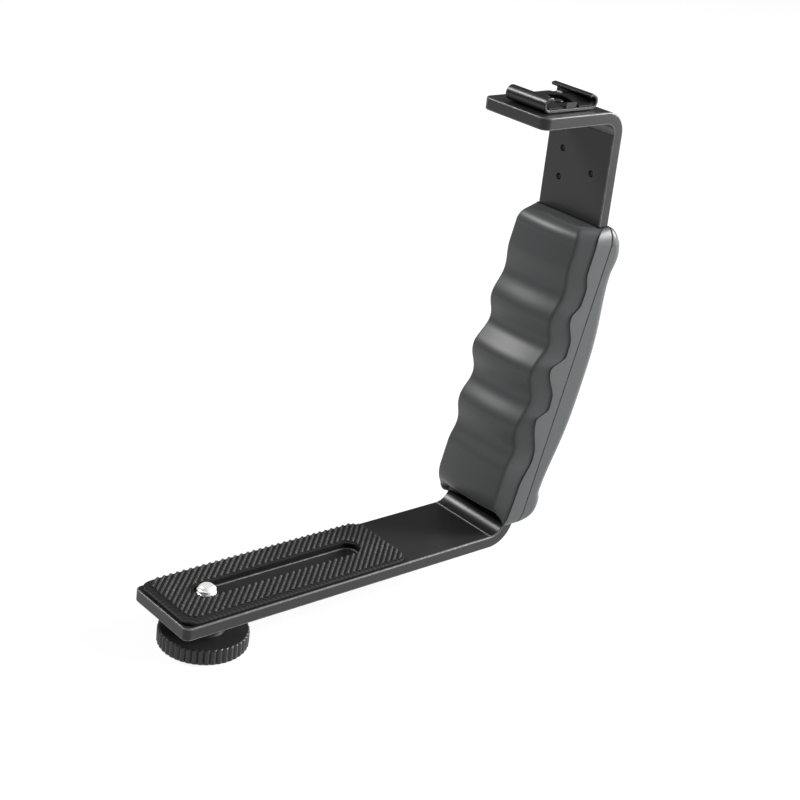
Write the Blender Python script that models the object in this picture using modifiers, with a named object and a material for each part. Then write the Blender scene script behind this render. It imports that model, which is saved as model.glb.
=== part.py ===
"""A camera L-bracket: a bent flat bar with a camera pad, a captive camera screw and its thumb knob, a moulded
finger grip in two halves, and an accessory shoe with its spring.

Metres, +Z up. The arm runs along X with its free end at -X, the bar's width runs along Y, and the grip and the
shoe stand at +X. The origin is the middle of the solid land of the camera pad, between the pad's slot and the
pad's end, on the pad's top face: the face that a camera's base rests on.
"""

import math

import bmesh
import bpy
from mathutils import Matrix, Vector

# Clearances, shared by every piece
SEAT_GAP = 0.0003          # between a piece and the face it rests on
SIDE_GAP = 0.0003          # between a pin and its hole, or a bar and its channel
OVERRUN = 0.002            # how far a cutter runs past the face it cuts

# The bent flat bar
BAR_WIDTH = 0.030
BAR_THICK = 0.00425
ARM_LENGTH = 0.13105       # free end to the elbow's inner corner
ELBOW_ANGLE = math.radians(76)
ELBOW_RADIUS = 0.006       # inner radius
LEAN_HEIGHT = 0.1049       # arm's top face to where the leaning run turns upright
LEAN_RADIUS = 0.040
STEM_HEIGHT = 0.15114      # arm's top face to the top plate's top face
TOP_RADIUS = 0.004
TOP_PLATE_LENGTH = 0.0377  # free end to the stem's rear face
ARM_CORNER_RADIUS = 0.0023
PLATE_CORNER_RADIUS = 0.003
BAR_EDGE_RADIUS = 0.0004
SLOT_START = 0.0140        # bar's free end to the slot
SLOT_LENGTH = 0.0635
SLOT_CLEARANCE = 0.000125  # between the camera screw and each side of the slot
SMALL_HOLE_RADIUS = 0.0011
SMALL_HOLE_SIDE = 0.0073   # the holes' places across the bar, from its middle
SMALL_HOLE_PITCH = 0.0102  # between the two holes of the pair
SMALL_HOLE_DROP = 0.0238   # top plate's top face to the middle of the three

# The camera pad
PAD_INSET = 0.0009         # from the bar's free end
PAD_SIDE_INSET = 0.0006
PAD_LAND = 0.0111          # the pad's solid end, from its slot to the edge nearest the elbow
PAD_THICK = 0.0019
PAD_CORNER_RADIUS = 0.0045
PAD_EDGE_RADIUS = 0.0003
PAD_SLOT_MARGIN = 0.0007   # how much wider the pad's slot is, each side

# The camera screw, a quarter inch bolt with a hex head
SCREW_RADIUS = 0.003175
SCREW_STAND = 0.00355      # arm's top face to the screw's tip, hanging
SCREW_CHAMFER = 0.0006
HEAD_FLATS = 0.0111
HEAD_HEIGHT = 0.0040
HEAD_RECESS = 0.0003       # knob's underside to the head

# The thumb knob
KNOB_RADIUS = 0.0144
KNOB_HEIGHT = 0.0054
KNOB_CHAMFER = 0.0005
KNOB_LIFT = 0.00335        # how far the knob rises before its washer meets the arm
FLUTE_COUNT = 44
FLUTE_DEPTH = 0.0005
FLUTE_WIDTH_SHARE = 0.75   # of the pitch round the rim
COLLAR_RADIUS = 0.0065
COLLAR_HEIGHT = 0.0024

# The thin washer on the knob's collar and the retaining ring in the pad's slot
WASHER_THICK = 0.0008
WASHER_INSET = 0.0003      # from the collar's edge
RETAINER_THICK = 0.0008
RETAINER_GAP = 0.0002      # to the screw inside, and to the pad's slot outside

# The grip
GRIP_CHEEK = 0.0027        # its wall beside the bar's channel
GRIP_BOTTOM = 0.0033       # arm's top face to the grip's lowest point
GRIP_TOP = 0.1105
GRIP_CORNER_RADIUS = 0.0050
FINGER_REACH = 0.0117      # furthest ridge in front of the bar
PALM_REACH = 0.01185       # fullest part of the palm side behind the bar
FINGER_TOP_RADIUS = 0.0060
FINGER_FOOT = 0.0017       # grip's lowest point to where its front foot begins
FINGER_FOOT_HEIGHT = 0.0090
PALM_TOP_HEIGHT = 0.0110
PALM_FOOT_HEIGHT = 0.0050
SIDE_ROUND_HEIGHT = 0.0050
SIDE_ROUND_DEPTH = 0.0022
# height and reach of each crest and valley, as shares of the grip's height and of its furthest reach
FINGER_SHARES = (
    (0.0, 0.75), (0.20, 0.75), (0.263, 0.63), (0.352, 0.87), (0.431, 0.63), (0.537, 1.0),
    (0.622, 0.65), (0.707, 0.915), (0.790, 0.71), (0.883, 0.865), (1.0, 0.865),
)
PALM_SHARES = (
    (0.0, 0.79), (0.058, 0.79), (0.103, 0.68), (0.457, 1.0), (0.841, 0.64), (0.898, 0.715), (1.0, 0.715),
)

# The grip's screws
GRIP_SCREW_RADIUS = 0.0019
GRIP_SCREW_BITE = 0.0050   # into the finger half
GRIP_SCREW_WEB = 0.0032    # palm half's front face to the screw head's seat
GRIP_HEAD_RADIUS = 0.0037
GRIP_HEAD_HEIGHT = 0.0024
GRIP_HEAD_DOME = 0.0008
GRIP_SCREW_SHARES = (("lower", 0.175), ("upper", 0.815))

# The accessory shoe
SHOE_WIDTH = 0.0248
SHOE_LENGTH = 0.0185
SHOE_SHEET = 0.0010
SHOE_RAIL_RADIUS = 0.0026
SHOE_LIP_ANGLE = math.radians(35)
SHOE_INSET = 0.0027        # top plate's free end to the shoe
SHOE_SIDE_INSET = 0.0040   # bar's near edge to the shoe

# The shoe's spring
SPRING_SHEET = 0.0004
WING_TUCK = 0.0004         # how far the wings reach under the rails' round sides
WING_RISE = 0.0015
TONGUE_WIDTH = 0.0046
SPRING_SLIT = 0.0015       # between the tongue and each wing
SPRING_BRIDGE = 0.0018     # the strip that joins them
SPRING_END_GAP = 0.0006    # shoe's far end to the spring
STOP_TAB_HEIGHT = 0.0018

# The shoe's rivets
RIVET_RADIUS = 0.0010
RIVET_HEAD_RADIUS = 0.0017
RIVET_HEAD_HEIGHT = 0.0007
RIVET_SHARES = (("near", 0.34), ("far", 0.68))

# How finely round shapes are cut
BEND_STEP = math.radians(9)
ROUND_STEPS = 48
HOLE_STEPS = 16
CORNER_STEPS = 5
RIM_STEPS = 2
FLUTE_STEPS = 10
SPRING_STEPS = 14
GRIP_END_RINGS = 7
GRIP_BODY_RINGS = 36

# Places that follow from the sizes above
SLOT_WIDTH = 2 * (SCREW_RADIUS + SLOT_CLEARANCE)
PAD_SLOT_END = SLOT_START + SLOT_LENGTH + PAD_SLOT_MARGIN
PAD_LENGTH = PAD_SLOT_END + PAD_LAND - PAD_INSET
GRIP_WIDTH = BAR_WIDTH + 2 * (SIDE_GAP + GRIP_CHEEK)
POCKET_DEPTH = HEAD_RECESS + HEAD_HEIGHT + SEAT_GAP
ARM_TOP = -(SEAT_GAP + PAD_THICK)
ARM_UNDER = ARM_TOP - BAR_THICK
FRONT_X = -(PAD_SLOT_END + PAD_LAND / 2)
SCREW_X = FRONT_X + SLOT_START + SLOT_WIDTH / 2
STEM_X = FRONT_X + ARM_LENGTH + LEAN_HEIGHT / math.tan(ELBOW_ANGLE)
PLATE_X = STEM_X + BAR_THICK - TOP_PLATE_LENGTH
PLATE_TOP = ARM_TOP + STEM_HEIGHT
COLLAR_TOP = ARM_UNDER - 2 * SEAT_GAP - KNOB_LIFT - WASHER_THICK
KNOB_TOP = COLLAR_TOP - COLLAR_HEIGHT
KNOB_BOTTOM = KNOB_TOP - KNOB_HEIGHT
SHOE_X = PLATE_X + SHOE_INSET + SHOE_WIDTH / 2
SHOE_Y = -BAR_WIDTH / 2 + SHOE_SIDE_INSET
SHOE_FLOOR = PLATE_TOP + SEAT_GAP + SHOE_SHEET

ON_SIDE = Matrix.Rotation(math.radians(90), 4, "X")


def start_scene():
    """An empty scene with one collection for the pieces and one for the shapes that cut them."""
    for obj in list(bpy.data.objects):
        bpy.data.objects.remove(obj)
    pieces = bpy.data.collections.new("camera_l_bracket")
    cutters = bpy.data.collections.new("cutters")
    for collection in (pieces, cutters):
        bpy.context.scene.collection.children.link(collection)
    return pieces, cutters


def material(name, colour, roughness, metallic):
    """A Principled material of one finish."""
    made = bpy.data.materials.new(name)
    made.use_nodes = True
    shader = made.node_tree.nodes["Principled BSDF"]
    shader.inputs["Base Color"].default_value = (*colour, 1)
    shader.inputs["Roughness"].default_value = roughness
    shader.inputs["Metallic"].default_value = metallic
    return made


def black_paint():
    return material("black_satin_paint", (0.030, 0.030, 0.032), 0.42, 0.0)


def black_rubber():
    return material("black_rubber", (0.035, 0.035, 0.036), 0.80, 0.0)


def grip_plastic():
    return material("grip_plastic", (0.050, 0.050, 0.053), 0.55, 0.0)


def knob_plastic():
    return material("knob_plastic", (0.020, 0.020, 0.021), 0.40, 0.0)


def bright_steel():
    return material("bright_plated_steel", (0.70, 0.70, 0.69), 0.22, 1.0)


def black_steel():
    return material("black_plated_steel", (0.030, 0.030, 0.032), 0.25, 1.0)


def nylon():
    return material("black_nylon", (0.022, 0.022, 0.022), 0.60, 0.0)


def add_object(name, mesh, matrix=None):
    """A mesh as an object among the pieces, placed by its matrix."""
    obj = bpy.data.objects.new(name, mesh)
    if matrix is not None:
        obj.matrix_world = matrix
    PIECES.objects.link(obj)
    return obj


def as_cutter(obj):
    """Take a shape out of the pieces and keep it as a cutter."""
    PIECES.objects.unlink(obj)
    CUTTERS.objects.link(obj)
    obj.hide_render = True
    obj.display_type = "WIRE"
    return obj


def combine(target, other, operation="DIFFERENCE"):
    """A Boolean of the target with another shape, which becomes a cutter."""
    boolean = target.modifiers.new(other.name, "BOOLEAN")
    boolean.operation = operation
    boolean.solver = "EXACT"
    boolean.object = as_cutter(other)
    return target


def soften(obj, radius, steps=RIM_STEPS):
    """Round every sharp edge of an object."""
    bevel = obj.modifiers.new("edges", "BEVEL")
    bevel.width = radius
    bevel.segments = steps
    bevel.limit_method = "ANGLE"
    bevel.angle_limit = math.radians(50)
    return obj


def finish(obj, finish_material, sharp_angle=math.radians(35)):
    """Give a piece its material and smooth shading between its sharp edges."""
    obj.data.materials.clear()
    obj.data.materials.append(finish_material)
    obj.data.shade_smooth()
    obj.data.set_sharp_from_angle(angle=sharp_angle)
    return obj


def outline_solid(name, outline, thickness, matrix=None):
    """A flat outline as a filled 2D curve, given its thickness and made a mesh with joined caps."""
    curve = bpy.data.curves.new(name, "CURVE")
    curve.dimensions = "2D"
    curve.fill_mode = "BOTH"
    curve.extrude = thickness / 2
    spline = curve.splines.new("POLY")
    spline.points.add(len(outline) - 1)
    for point, (across, up) in zip(spline.points, outline):
        point.co = (across, up, 0, 1)
    spline.use_cyclic_u = True
    drawn = bpy.data.objects.new(name + "_outline", curve)
    if matrix is not None:
        drawn.matrix_world = matrix
    PIECES.objects.link(drawn)
    graph = bpy.context.evaluated_depsgraph_get()
    mesh = bpy.data.meshes.new_from_object(drawn.evaluated_get(graph))
    mesh.name = name
    solid = add_object(name, mesh, drawn.matrix_world.copy())
    bpy.data.objects.remove(drawn)
    shape = bmesh.new()
    shape.from_mesh(mesh)
    bmesh.ops.remove_doubles(shape, verts=shape.verts, dist=SEAT_GAP / 100)
    bmesh.ops.dissolve_limit(shape, angle_limit=math.radians(0.5), verts=shape.verts, edges=shape.edges)
    shape.to_mesh(mesh)
    shape.free()
    return solid


def round_corners(obj, radius, is_corner):
    """Round the straight edges of a mesh whose two ends both pass the test."""
    shape = bmesh.new()
    shape.from_mesh(obj.data)
    picked = [edge for edge in shape.edges if all(is_corner(vert.co) for vert in edge.verts)]
    bmesh.ops.bevel(shape, geom=picked, offset=radius, segments=CORNER_STEPS, profile=0.5, affect="EDGES")
    shape.to_mesh(obj.data)
    shape.free()
    return obj


def rod(name, radius, length, matrix, sides=HOLE_STEPS):
    """A cylinder, or a prism with few sides, centred on its matrix and lying along its Z."""
    mesh = bpy.data.meshes.new(name)
    shape = bmesh.new()
    bmesh.ops.create_cone(shape, cap_ends=True, segments=sides, radius1=radius, radius2=radius, depth=length)
    shape.to_mesh(mesh)
    shape.free()
    return add_object(name, mesh, matrix)


def turned(name, profile, matrix, closed=False, steps=ROUND_STEPS):
    """A profile of (radius, height) points, down its outer side, turned about its own Z."""
    mesh = bpy.data.meshes.new(name)
    shape = bmesh.new()
    verts = [shape.verts.new((radius, 0, height)) for radius, height in profile]
    for first, second in zip(verts, verts[1:] + verts[:1] if closed else verts[1:]):
        shape.edges.new((first, second))
    shape.to_mesh(mesh)
    shape.free()
    obj = add_object(name, mesh, matrix)
    screw = obj.modifiers.new("turned", "SCREW")
    screw.axis = "Z"
    screw.steps = steps
    screw.render_steps = steps
    screw.use_merge_vertices = True
    screw.merge_threshold = SEAT_GAP / 100
    return obj


def arc(centre, radius, start, end, steps):
    """Points of (x, y) along an arc, both ends included."""
    turns = [start + (end - start) * step / steps for step in range(steps + 1)]
    return [(centre[0] + radius * math.cos(turn), centre[1] + radius * math.sin(turn)) for turn in turns]


def stadium(length, width):
    """The outline of a slot with round ends, lying along X about its middle."""
    reach = (length - width) / 2
    quarter = math.pi / 2
    steps = ROUND_STEPS // 2
    return (arc((reach, 0), width / 2, -quarter, quarter, steps)
            + arc((-reach, 0), width / 2, quarter, 3 * quarter, steps))


def rounded_box(low, high, radius, steps):
    """The outline of a rectangle with round corners, from its low to its high corner."""
    quarter = math.pi / 2
    centres = ((high[0] - radius, high[1] - radius), (low[0] + radius, high[1] - radius),
               (low[0] + radius, low[1] + radius), (high[0] - radius, low[1] + radius))
    outline = []
    for turn, centre in enumerate(centres):
        outline += arc(centre, radius, turn * quarter, (turn + 1) * quarter, steps)
    return outline


# The bar's bends

def run_corners():
    """The corners (x, z) of the bar's camera side before its bends are rounded."""
    front = Vector((FRONT_X, ARM_TOP))
    elbow = Vector((FRONT_X + ARM_LENGTH, ARM_TOP))
    lean = Vector((STEM_X, ARM_TOP + LEAN_HEIGHT))
    top = Vector((STEM_X, PLATE_TOP - BAR_THICK))
    tip = Vector((PLATE_X, PLATE_TOP - BAR_THICK))
    return front, elbow, lean, top, tip


def heading(start, end):
    """The direction from one corner to the next, as an angle from +X."""
    return math.atan2(end.y - start.y, end.x - start.x)


def behind(angle):
    """The direction into the bar's thickness beside a run of this heading."""
    return Vector((math.sin(angle), -math.cos(angle)))


def bar_side(depth):
    """The bar's side view (x, z) at a depth behind its camera side, from the arm's free end to the plate's."""
    corners = run_corners()
    first = heading(corners[0], corners[1])
    last = heading(corners[-2], corners[-1])
    points = [corners[0] + behind(first) * depth]
    radii = (ELBOW_RADIUS, LEAN_RADIUS, TOP_RADIUS)
    for before, corner, after, radius in zip(corners, corners[1:], corners[2:], radii):
        inward, outward = heading(before, corner), heading(corner, after)
        turn = outward - inward
        tangent = radius * math.tan(turn / 2)
        start = corner - Vector((math.cos(inward), math.sin(inward))) * tangent
        centre = start - behind(inward) * radius
        steps = max(2, round(turn / BEND_STEP))
        for step in range(steps + 1):
            points.append(centre + behind(inward + turn * step / steps) * (radius + depth))
    points.append(corners[-1] + behind(last) * depth)
    return [tuple(point) for point in points]


def stem_side(depth):
    """The part of bar_side from the elbow to the top bend, which the grip's halves meet along."""
    low, high = ARM_UNDER, PLATE_TOP - BAR_THICK - TOP_RADIUS
    start = FRONT_X + ARM_LENGTH - BAR_THICK
    return [(x, z) for x, z in bar_side(depth) if x > start and low - OVERRUN < z < high + SEAT_GAP]


def bar_front_x(height):
    """Where the bar's camera side is at a height above the arm's top face."""
    return STEM_X - max(0.0, LEAN_HEIGHT - height) / math.tan(ELBOW_ANGLE)


def bar_rear_x(height):
    """Where the bar's rear face is at a height above the arm's top face."""
    slant = BAR_THICK / math.sin(ELBOW_ANGLE) if height < LEAN_HEIGHT else BAR_THICK
    return bar_front_x(height) + slant


def grip_screw_places():
    """Name and frame of each grip screw: its origin on the bar's rear face, its Z out of the palm side."""
    normal = behind(ELBOW_ANGLE)
    tilt = Matrix.Rotation(math.atan2(normal.x, normal.y), 4, "Y")
    for name, share in GRIP_SCREW_SHARES:
        height = GRIP_BOTTOM + (GRIP_TOP - GRIP_BOTTOM) * share
        yield name, Matrix.Translation((bar_rear_x(height), 0, ARM_TOP + height)) @ tilt


def rivet_places():
    """Name and place of each rivet, on the shoe's middle line at the top plate's top face."""
    for name, share in RIVET_SHARES:
        yield name, Matrix.Translation((SHOE_X, SHOE_Y + SHOE_LENGTH * share, PLATE_TOP))


def make_bar():
    """The bent bar with its rounded ends, screw slot and holes."""
    outline = bar_side(0) + bar_side(BAR_THICK)[::-1]
    bar = outline_solid("bracket_bar", outline, BAR_WIDTH, ON_SIDE)
    arm_end = FRONT_X + SEAT_GAP
    plate_end = PLATE_X + SEAT_GAP
    plate_under = PLATE_TOP - BAR_THICK - SEAT_GAP
    round_corners(bar, ARM_CORNER_RADIUS, lambda co: co.x < arm_end)
    round_corners(bar, PLATE_CORNER_RADIUS, lambda co: co.x < plate_end and co.y > plate_under)
    soften(bar, BAR_EDGE_RADIUS)
    middle = (FRONT_X + SLOT_START + SLOT_LENGTH / 2, 0, ARM_TOP - BAR_THICK / 2)
    through = BAR_THICK + 2 * OVERRUN
    combine(bar, outline_solid("arm_slot", stadium(SLOT_LENGTH, SLOT_WIDTH), through,
                               Matrix.Translation(middle)))
    across = Matrix.Rotation(math.radians(90), 4, "Y")
    hole_z = PLATE_TOP - SMALL_HOLE_DROP
    places = ((SMALL_HOLE_SIDE, hole_z + SMALL_HOLE_PITCH / 2), (SMALL_HOLE_SIDE, hole_z - SMALL_HOLE_PITCH / 2),
              (-SMALL_HOLE_SIDE, hole_z))
    for index, (side, height) in enumerate(places):
        place = Matrix.Translation((STEM_X + BAR_THICK / 2, side, height)) @ across
        combine(bar, rod(f"small_hole_{index}", SMALL_HOLE_RADIUS, through, place))
    for name, place in grip_screw_places():
        hole = rod(f"bar_screw_hole_{name}", GRIP_SCREW_RADIUS + SIDE_GAP, through + BAR_THICK, place)
        combine(bar, hole)
    for name, place in rivet_places():
        combine(bar, rod(f"plate_rivet_hole_{name}", RIVET_RADIUS + SIDE_GAP, through + BAR_THICK, place))
    return finish(bar, black_paint())


def make_pad():
    """The camera pad, on the arm, with a slot a little wider than the bar's."""
    half = BAR_WIDTH / 2 - PAD_SIDE_INSET
    low = (FRONT_X + PAD_INSET, -half)
    high = (FRONT_X + PAD_INSET + PAD_LENGTH, half)
    level = Matrix.Translation((0, 0, -PAD_THICK / 2))
    pad = outline_solid("camera_pad", rounded_box(low, high, PAD_CORNER_RADIUS, CORNER_STEPS), PAD_THICK, level)
    soften(pad, PAD_EDGE_RADIUS)
    middle = Matrix.Translation((FRONT_X + SLOT_START + SLOT_LENGTH / 2, 0, -PAD_THICK / 2))
    margin = 2 * PAD_SLOT_MARGIN
    slot = stadium(SLOT_LENGTH + margin, SLOT_WIDTH + margin)
    combine(pad, outline_solid("pad_slot", slot, PAD_THICK + 2 * OVERRUN, middle))
    return finish(pad, black_rubber())


# What moves in the slot: each piece's origin is on the screw's axis

def screw_axis():
    """The empty that the screw, its knob, washer and retaining ring hang from."""
    axis = bpy.data.objects.new("screw_axis", None)
    axis.location = (SCREW_X, 0, ARM_TOP)
    PIECES.objects.link(axis)
    return axis


def hang(obj, axis):
    """Parent a piece to the screw's axis, in place."""
    obj.parent = axis
    obj.matrix_parent_inverse = Matrix.Translation(-axis.location)
    return obj


def on_axis(height):
    """A place on the screw's axis."""
    return Matrix.Translation((SCREW_X, 0, height))


def make_screw(axis):
    """The camera screw: a hex head in the knob's pocket and a shank up through the slot."""
    head_top = KNOB_BOTTOM + POCKET_DEPTH - SEAT_GAP
    head_middle = head_top - HEAD_HEIGHT / 2
    tip = ARM_TOP + SCREW_STAND - head_middle
    profile = ((0, tip), (SCREW_RADIUS - SCREW_CHAMFER, tip), (SCREW_RADIUS, tip - SCREW_CHAMFER),
               (SCREW_RADIUS, 0), (0, 0))
    screw = turned("camera_screw", profile, on_axis(head_middle))
    corner_radius = HEAD_FLATS / 2 / math.cos(math.radians(30))
    combine(screw, rod("hex_head", corner_radius, HEAD_HEIGHT, on_axis(head_middle), sides=6), "UNION")
    return hang(finish(screw, bright_steel()), axis)


def make_knob(axis):
    """The fluted thumb knob with its collar, its bore and the hex pocket in its underside."""
    bore = SCREW_RADIUS + SIDE_GAP
    profile = ((COLLAR_RADIUS, COLLAR_HEIGHT), (COLLAR_RADIUS, 0), (KNOB_RADIUS - KNOB_CHAMFER, 0),
               (KNOB_RADIUS, -KNOB_CHAMFER), (KNOB_RADIUS, KNOB_CHAMFER - KNOB_HEIGHT),
               (KNOB_RADIUS - KNOB_CHAMFER, -KNOB_HEIGHT), (bore, -KNOB_HEIGHT), (bore, COLLAR_HEIGHT))
    knob = turned("thumb_knob", profile, on_axis(KNOB_TOP), closed=True, steps=2 * FLUTE_COUNT)
    combine(knob, flute_cutter())
    flats = HEAD_FLATS + 2 * SIDE_GAP
    depth = 2 * POCKET_DEPTH
    combine(knob, rod("hex_pocket", flats / 2 / math.cos(math.radians(30)), depth, on_axis(KNOB_BOTTOM), sides=6))
    return hang(finish(knob, knob_plastic()), axis)


def flute_cutter():
    """The flutes round the knob's rim, one mesh of separate rods."""
    spacing = 2 * math.pi / FLUTE_COUNT
    radius = KNOB_RADIUS * math.sin(spacing / 2) * FLUTE_WIDTH_SHARE
    reach = KNOB_RADIUS - FLUTE_DEPTH + radius
    mesh = bpy.data.meshes.new("flutes")
    shape = bmesh.new()
    for index in range(FLUTE_COUNT):
        # half a spacing off the knob's own facets, so that no face of a rod lies on one of them
        turn = spacing * (index + 0.5)
        place = Matrix.Rotation(turn, 4, "Z") @ Matrix.Translation((reach, 0, 0))
        bmesh.ops.create_cone(shape, cap_ends=True, segments=FLUTE_STEPS, radius1=radius, radius2=radius,
                              depth=KNOB_HEIGHT + 2 * OVERRUN, matrix=place)
    shape.to_mesh(mesh)
    shape.free()
    return add_object("flutes", mesh, on_axis(KNOB_TOP - KNOB_HEIGHT / 2))


def ring(name, inner, outer, thickness, height):
    """A flat ring on the screw's axis, with its underside at a height."""
    profile = ((outer, thickness), (outer, 0), (inner, 0), (inner, thickness))
    return turned(name, profile, on_axis(height), closed=True)


def make_washer(axis):
    """The washer that the knob's collar presses on the arm's underside."""
    washer = ring("knob_washer", SCREW_RADIUS + SIDE_GAP, COLLAR_RADIUS - WASHER_INSET, WASHER_THICK,
                  COLLAR_TOP + SEAT_GAP)
    return hang(finish(washer, nylon()), axis)


def make_retainer(axis):
    """The retaining ring on the edges of the bar's slot, inside the pad's slot."""
    outer = SLOT_WIDTH / 2 + PAD_SLOT_MARGIN - RETAINER_GAP
    retainer = ring("slot_retainer", SCREW_RADIUS + RETAINER_GAP, outer, RETAINER_THICK, ARM_TOP + SEAT_GAP)
    return hang(finish(retainer, nylon()), axis)


# The moulded grip

def eased(stations, share, power):
    """A value between stations that are crests, valleys or level runs.

    It leaves each of them level. The power shapes the way down from a crest: below one the crest is narrow,
    above one it is broad.
    """
    for (low, low_value), (high, high_value) in zip(stations, stations[1:]):
        if share <= high:
            along = (share - low) / (high - low)
            crest, valley = (high_value, low_value)
            from_crest = 1 - along
            if low_value > high_value:
                crest, valley = valley, crest
                from_crest = along
            return crest + (valley - crest) * (1 - math.cos(math.pi * from_crest ** power)) / 2
    return stations[-1][1]


def end_round(distance, height, power):
    """How much of a reach is left this far from an end that is rounded over a height."""
    if distance >= height:
        return 1.0
    left = 1 - max(0.0, distance) / height
    return (1 - left ** power) ** (1 / power)


def grip_section(height):
    """Front x, rear x and half width of the grip at a height above the arm's top face."""
    share = (height - GRIP_BOTTOM) / (GRIP_TOP - GRIP_BOTTOM)
    from_top = GRIP_TOP - height
    from_foot = height - GRIP_BOTTOM
    finger = FINGER_REACH * eased(FINGER_SHARES, share, 0.85)
    finger *= end_round(from_foot - FINGER_FOOT, FINGER_FOOT_HEIGHT, 1.65)
    finger -= FINGER_TOP_RADIUS * (1 - end_round(from_top, FINGER_TOP_RADIUS, 2))
    palm = PALM_REACH * eased(PALM_SHARES, share, 1.5)
    palm *= end_round(from_top, PALM_TOP_HEIGHT, 1.55) * end_round(from_foot, PALM_FOOT_HEIGHT, 2.6)
    nearest_end = min(from_top, from_foot)
    half_width = GRIP_WIDTH / 2 - SIDE_ROUND_DEPTH * (1 - end_round(nearest_end, SIDE_ROUND_HEIGHT, 2))
    return bar_front_x(height) - finger, bar_rear_x(height) + palm, half_width


def grip_heights():
    """The heights of the grip's rings, close together towards its rounded ends."""
    end = max(FINGER_FOOT + FINGER_FOOT_HEIGHT, PALM_TOP_HEIGHT)
    spread = [1 - math.cos(math.pi / 2 * step / GRIP_END_RINGS) for step in range(GRIP_END_RINGS)]
    body = (GRIP_TOP - GRIP_BOTTOM - 2 * end) / GRIP_BODY_RINGS
    heights = [GRIP_BOTTOM + end * share for share in spread]
    heights += [GRIP_BOTTOM + end + body * step for step in range(GRIP_BODY_RINGS + 1)]
    heights += [GRIP_TOP - end * share for share in reversed(spread)]
    return heights


def grip_blank(name):
    """The grip's whole outer form, lofted through rings with round corners."""
    mesh = bpy.data.meshes.new(name)
    shape = bmesh.new()
    rings = []
    for height in grip_heights():
        front, rear, half = grip_section(height)
        radius = min(GRIP_CORNER_RADIUS, (rear - front) / 2 - SEAT_GAP)
        outline = rounded_box((front, -half), (rear, half), radius, CORNER_STEPS)
        rings.append([shape.verts.new((x, y, ARM_TOP + height)) for x, y in outline])
    for lower, upper in zip(rings, rings[1:]):
        for index in range(len(lower)):
            after = (index + 1) % len(lower)
            shape.faces.new((lower[index], lower[after], upper[after], upper[index]))
    shape.faces.new(rings[0][::-1])
    shape.faces.new(rings[-1])
    shape.to_mesh(mesh)
    shape.free()
    return add_object(name, mesh)


def beside_line(name, line, far_x):
    """A block across the grip that fills one side of a line (x, z), out to a far x."""
    outline = line + [(far_x, line[-1][1]), (far_x, line[0][1])]
    return outline_solid(name, outline, GRIP_WIDTH + 2 * OVERRUN, ON_SIDE)


def stem_line(depth):
    """The line along the stem at a depth, run past both ends of the grip."""
    line = stem_side(depth)
    drop = GRIP_BOTTOM + OVERRUN
    foot_x = bar_front_x(-drop) + (BAR_THICK if depth > 0 else 0)
    return [(min(foot_x, line[0][0]), line[0][1] - drop)] + line


def make_finger_half():
    """The grip's front half: finger ridges outside, a channel for the bar behind and two blind screw holes."""
    half = grip_blank("grip_finger_half")
    combine(half, beside_line("behind_the_bar", stem_line(BAR_THICK), STEM_X + PALM_REACH + GRIP_WIDTH))
    outline = bar_side(-SEAT_GAP) + bar_side(BAR_THICK + OVERRUN)[::-1]
    combine(half, outline_solid("bar_channel", outline, BAR_WIDTH + 2 * SIDE_GAP, ON_SIDE))
    for name, place in grip_screw_places():
        depth = BAR_THICK + GRIP_SCREW_BITE + SIDE_GAP
        inward = Matrix.Translation((0, 0, -depth / 2))
        combine(half, rod(f"boss_hole_{name}", GRIP_SCREW_RADIUS + SIDE_GAP, depth, place @ inward))
    return finish(half, grip_plastic())


def make_palm_half():
    """The grip's rear half: a cover behind the bar, with two counterbored screw holes."""
    half = grip_blank("grip_palm_half")
    combine(half, beside_line("before_the_cover", stem_line(BAR_THICK + SEAT_GAP), FRONT_X))
    for name, place in grip_screw_places():
        combine(half, rod(f"palm_hole_{name}", GRIP_SCREW_RADIUS + SIDE_GAP, 4 * PALM_REACH, place))
        seat = SEAT_GAP + GRIP_SCREW_WEB
        outward = Matrix.Translation((0, 0, seat + PALM_REACH))
        well = rod(f"screw_well_{name}", GRIP_HEAD_RADIUS + SIDE_GAP, 2 * PALM_REACH, place @ outward)
        combine(half, well)
    return finish(half, grip_plastic())


def make_grip_screws():
    """The two screws that hold the grip's halves to the bar and to each other."""
    seat = 2 * SEAT_GAP + GRIP_SCREW_WEB
    end = -(BAR_THICK + GRIP_SCREW_BITE)
    head = seat + GRIP_HEAD_HEIGHT
    profile = ((0, head), (GRIP_HEAD_RADIUS - GRIP_HEAD_DOME, head), (GRIP_HEAD_RADIUS, head - GRIP_HEAD_DOME),
               (GRIP_HEAD_RADIUS, seat), (GRIP_SCREW_RADIUS, seat), (GRIP_SCREW_RADIUS, end + GRIP_SCREW_RADIUS),
               (0, end))
    for name, place in grip_screw_places():
        finish(turned(f"grip_screw_{name}", profile, place, steps=ROUND_STEPS // 2), black_steel())


# The accessory shoe

def rail(side, radius, reverse):
    """One rolled rail's section (x, z): from its lip round to the floor, at a radius of its sheet."""
    centre = (SHOE_X + side * (SHOE_WIDTH / 2 - SHOE_RAIL_RADIUS), PLATE_TOP + SEAT_GAP + SHOE_RAIL_RADIUS)
    quarter = math.pi / 2
    steps = round((2 * quarter + SHOE_LIP_ANGLE) / BEND_STEP / 1.5)
    points = arc((0, 0), radius, quarter + SHOE_LIP_ANGLE, -quarter, steps)
    points = [(centre[0] + side * x, centre[1] + z) for x, z in points]
    return points[::-1] if reverse else points


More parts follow.
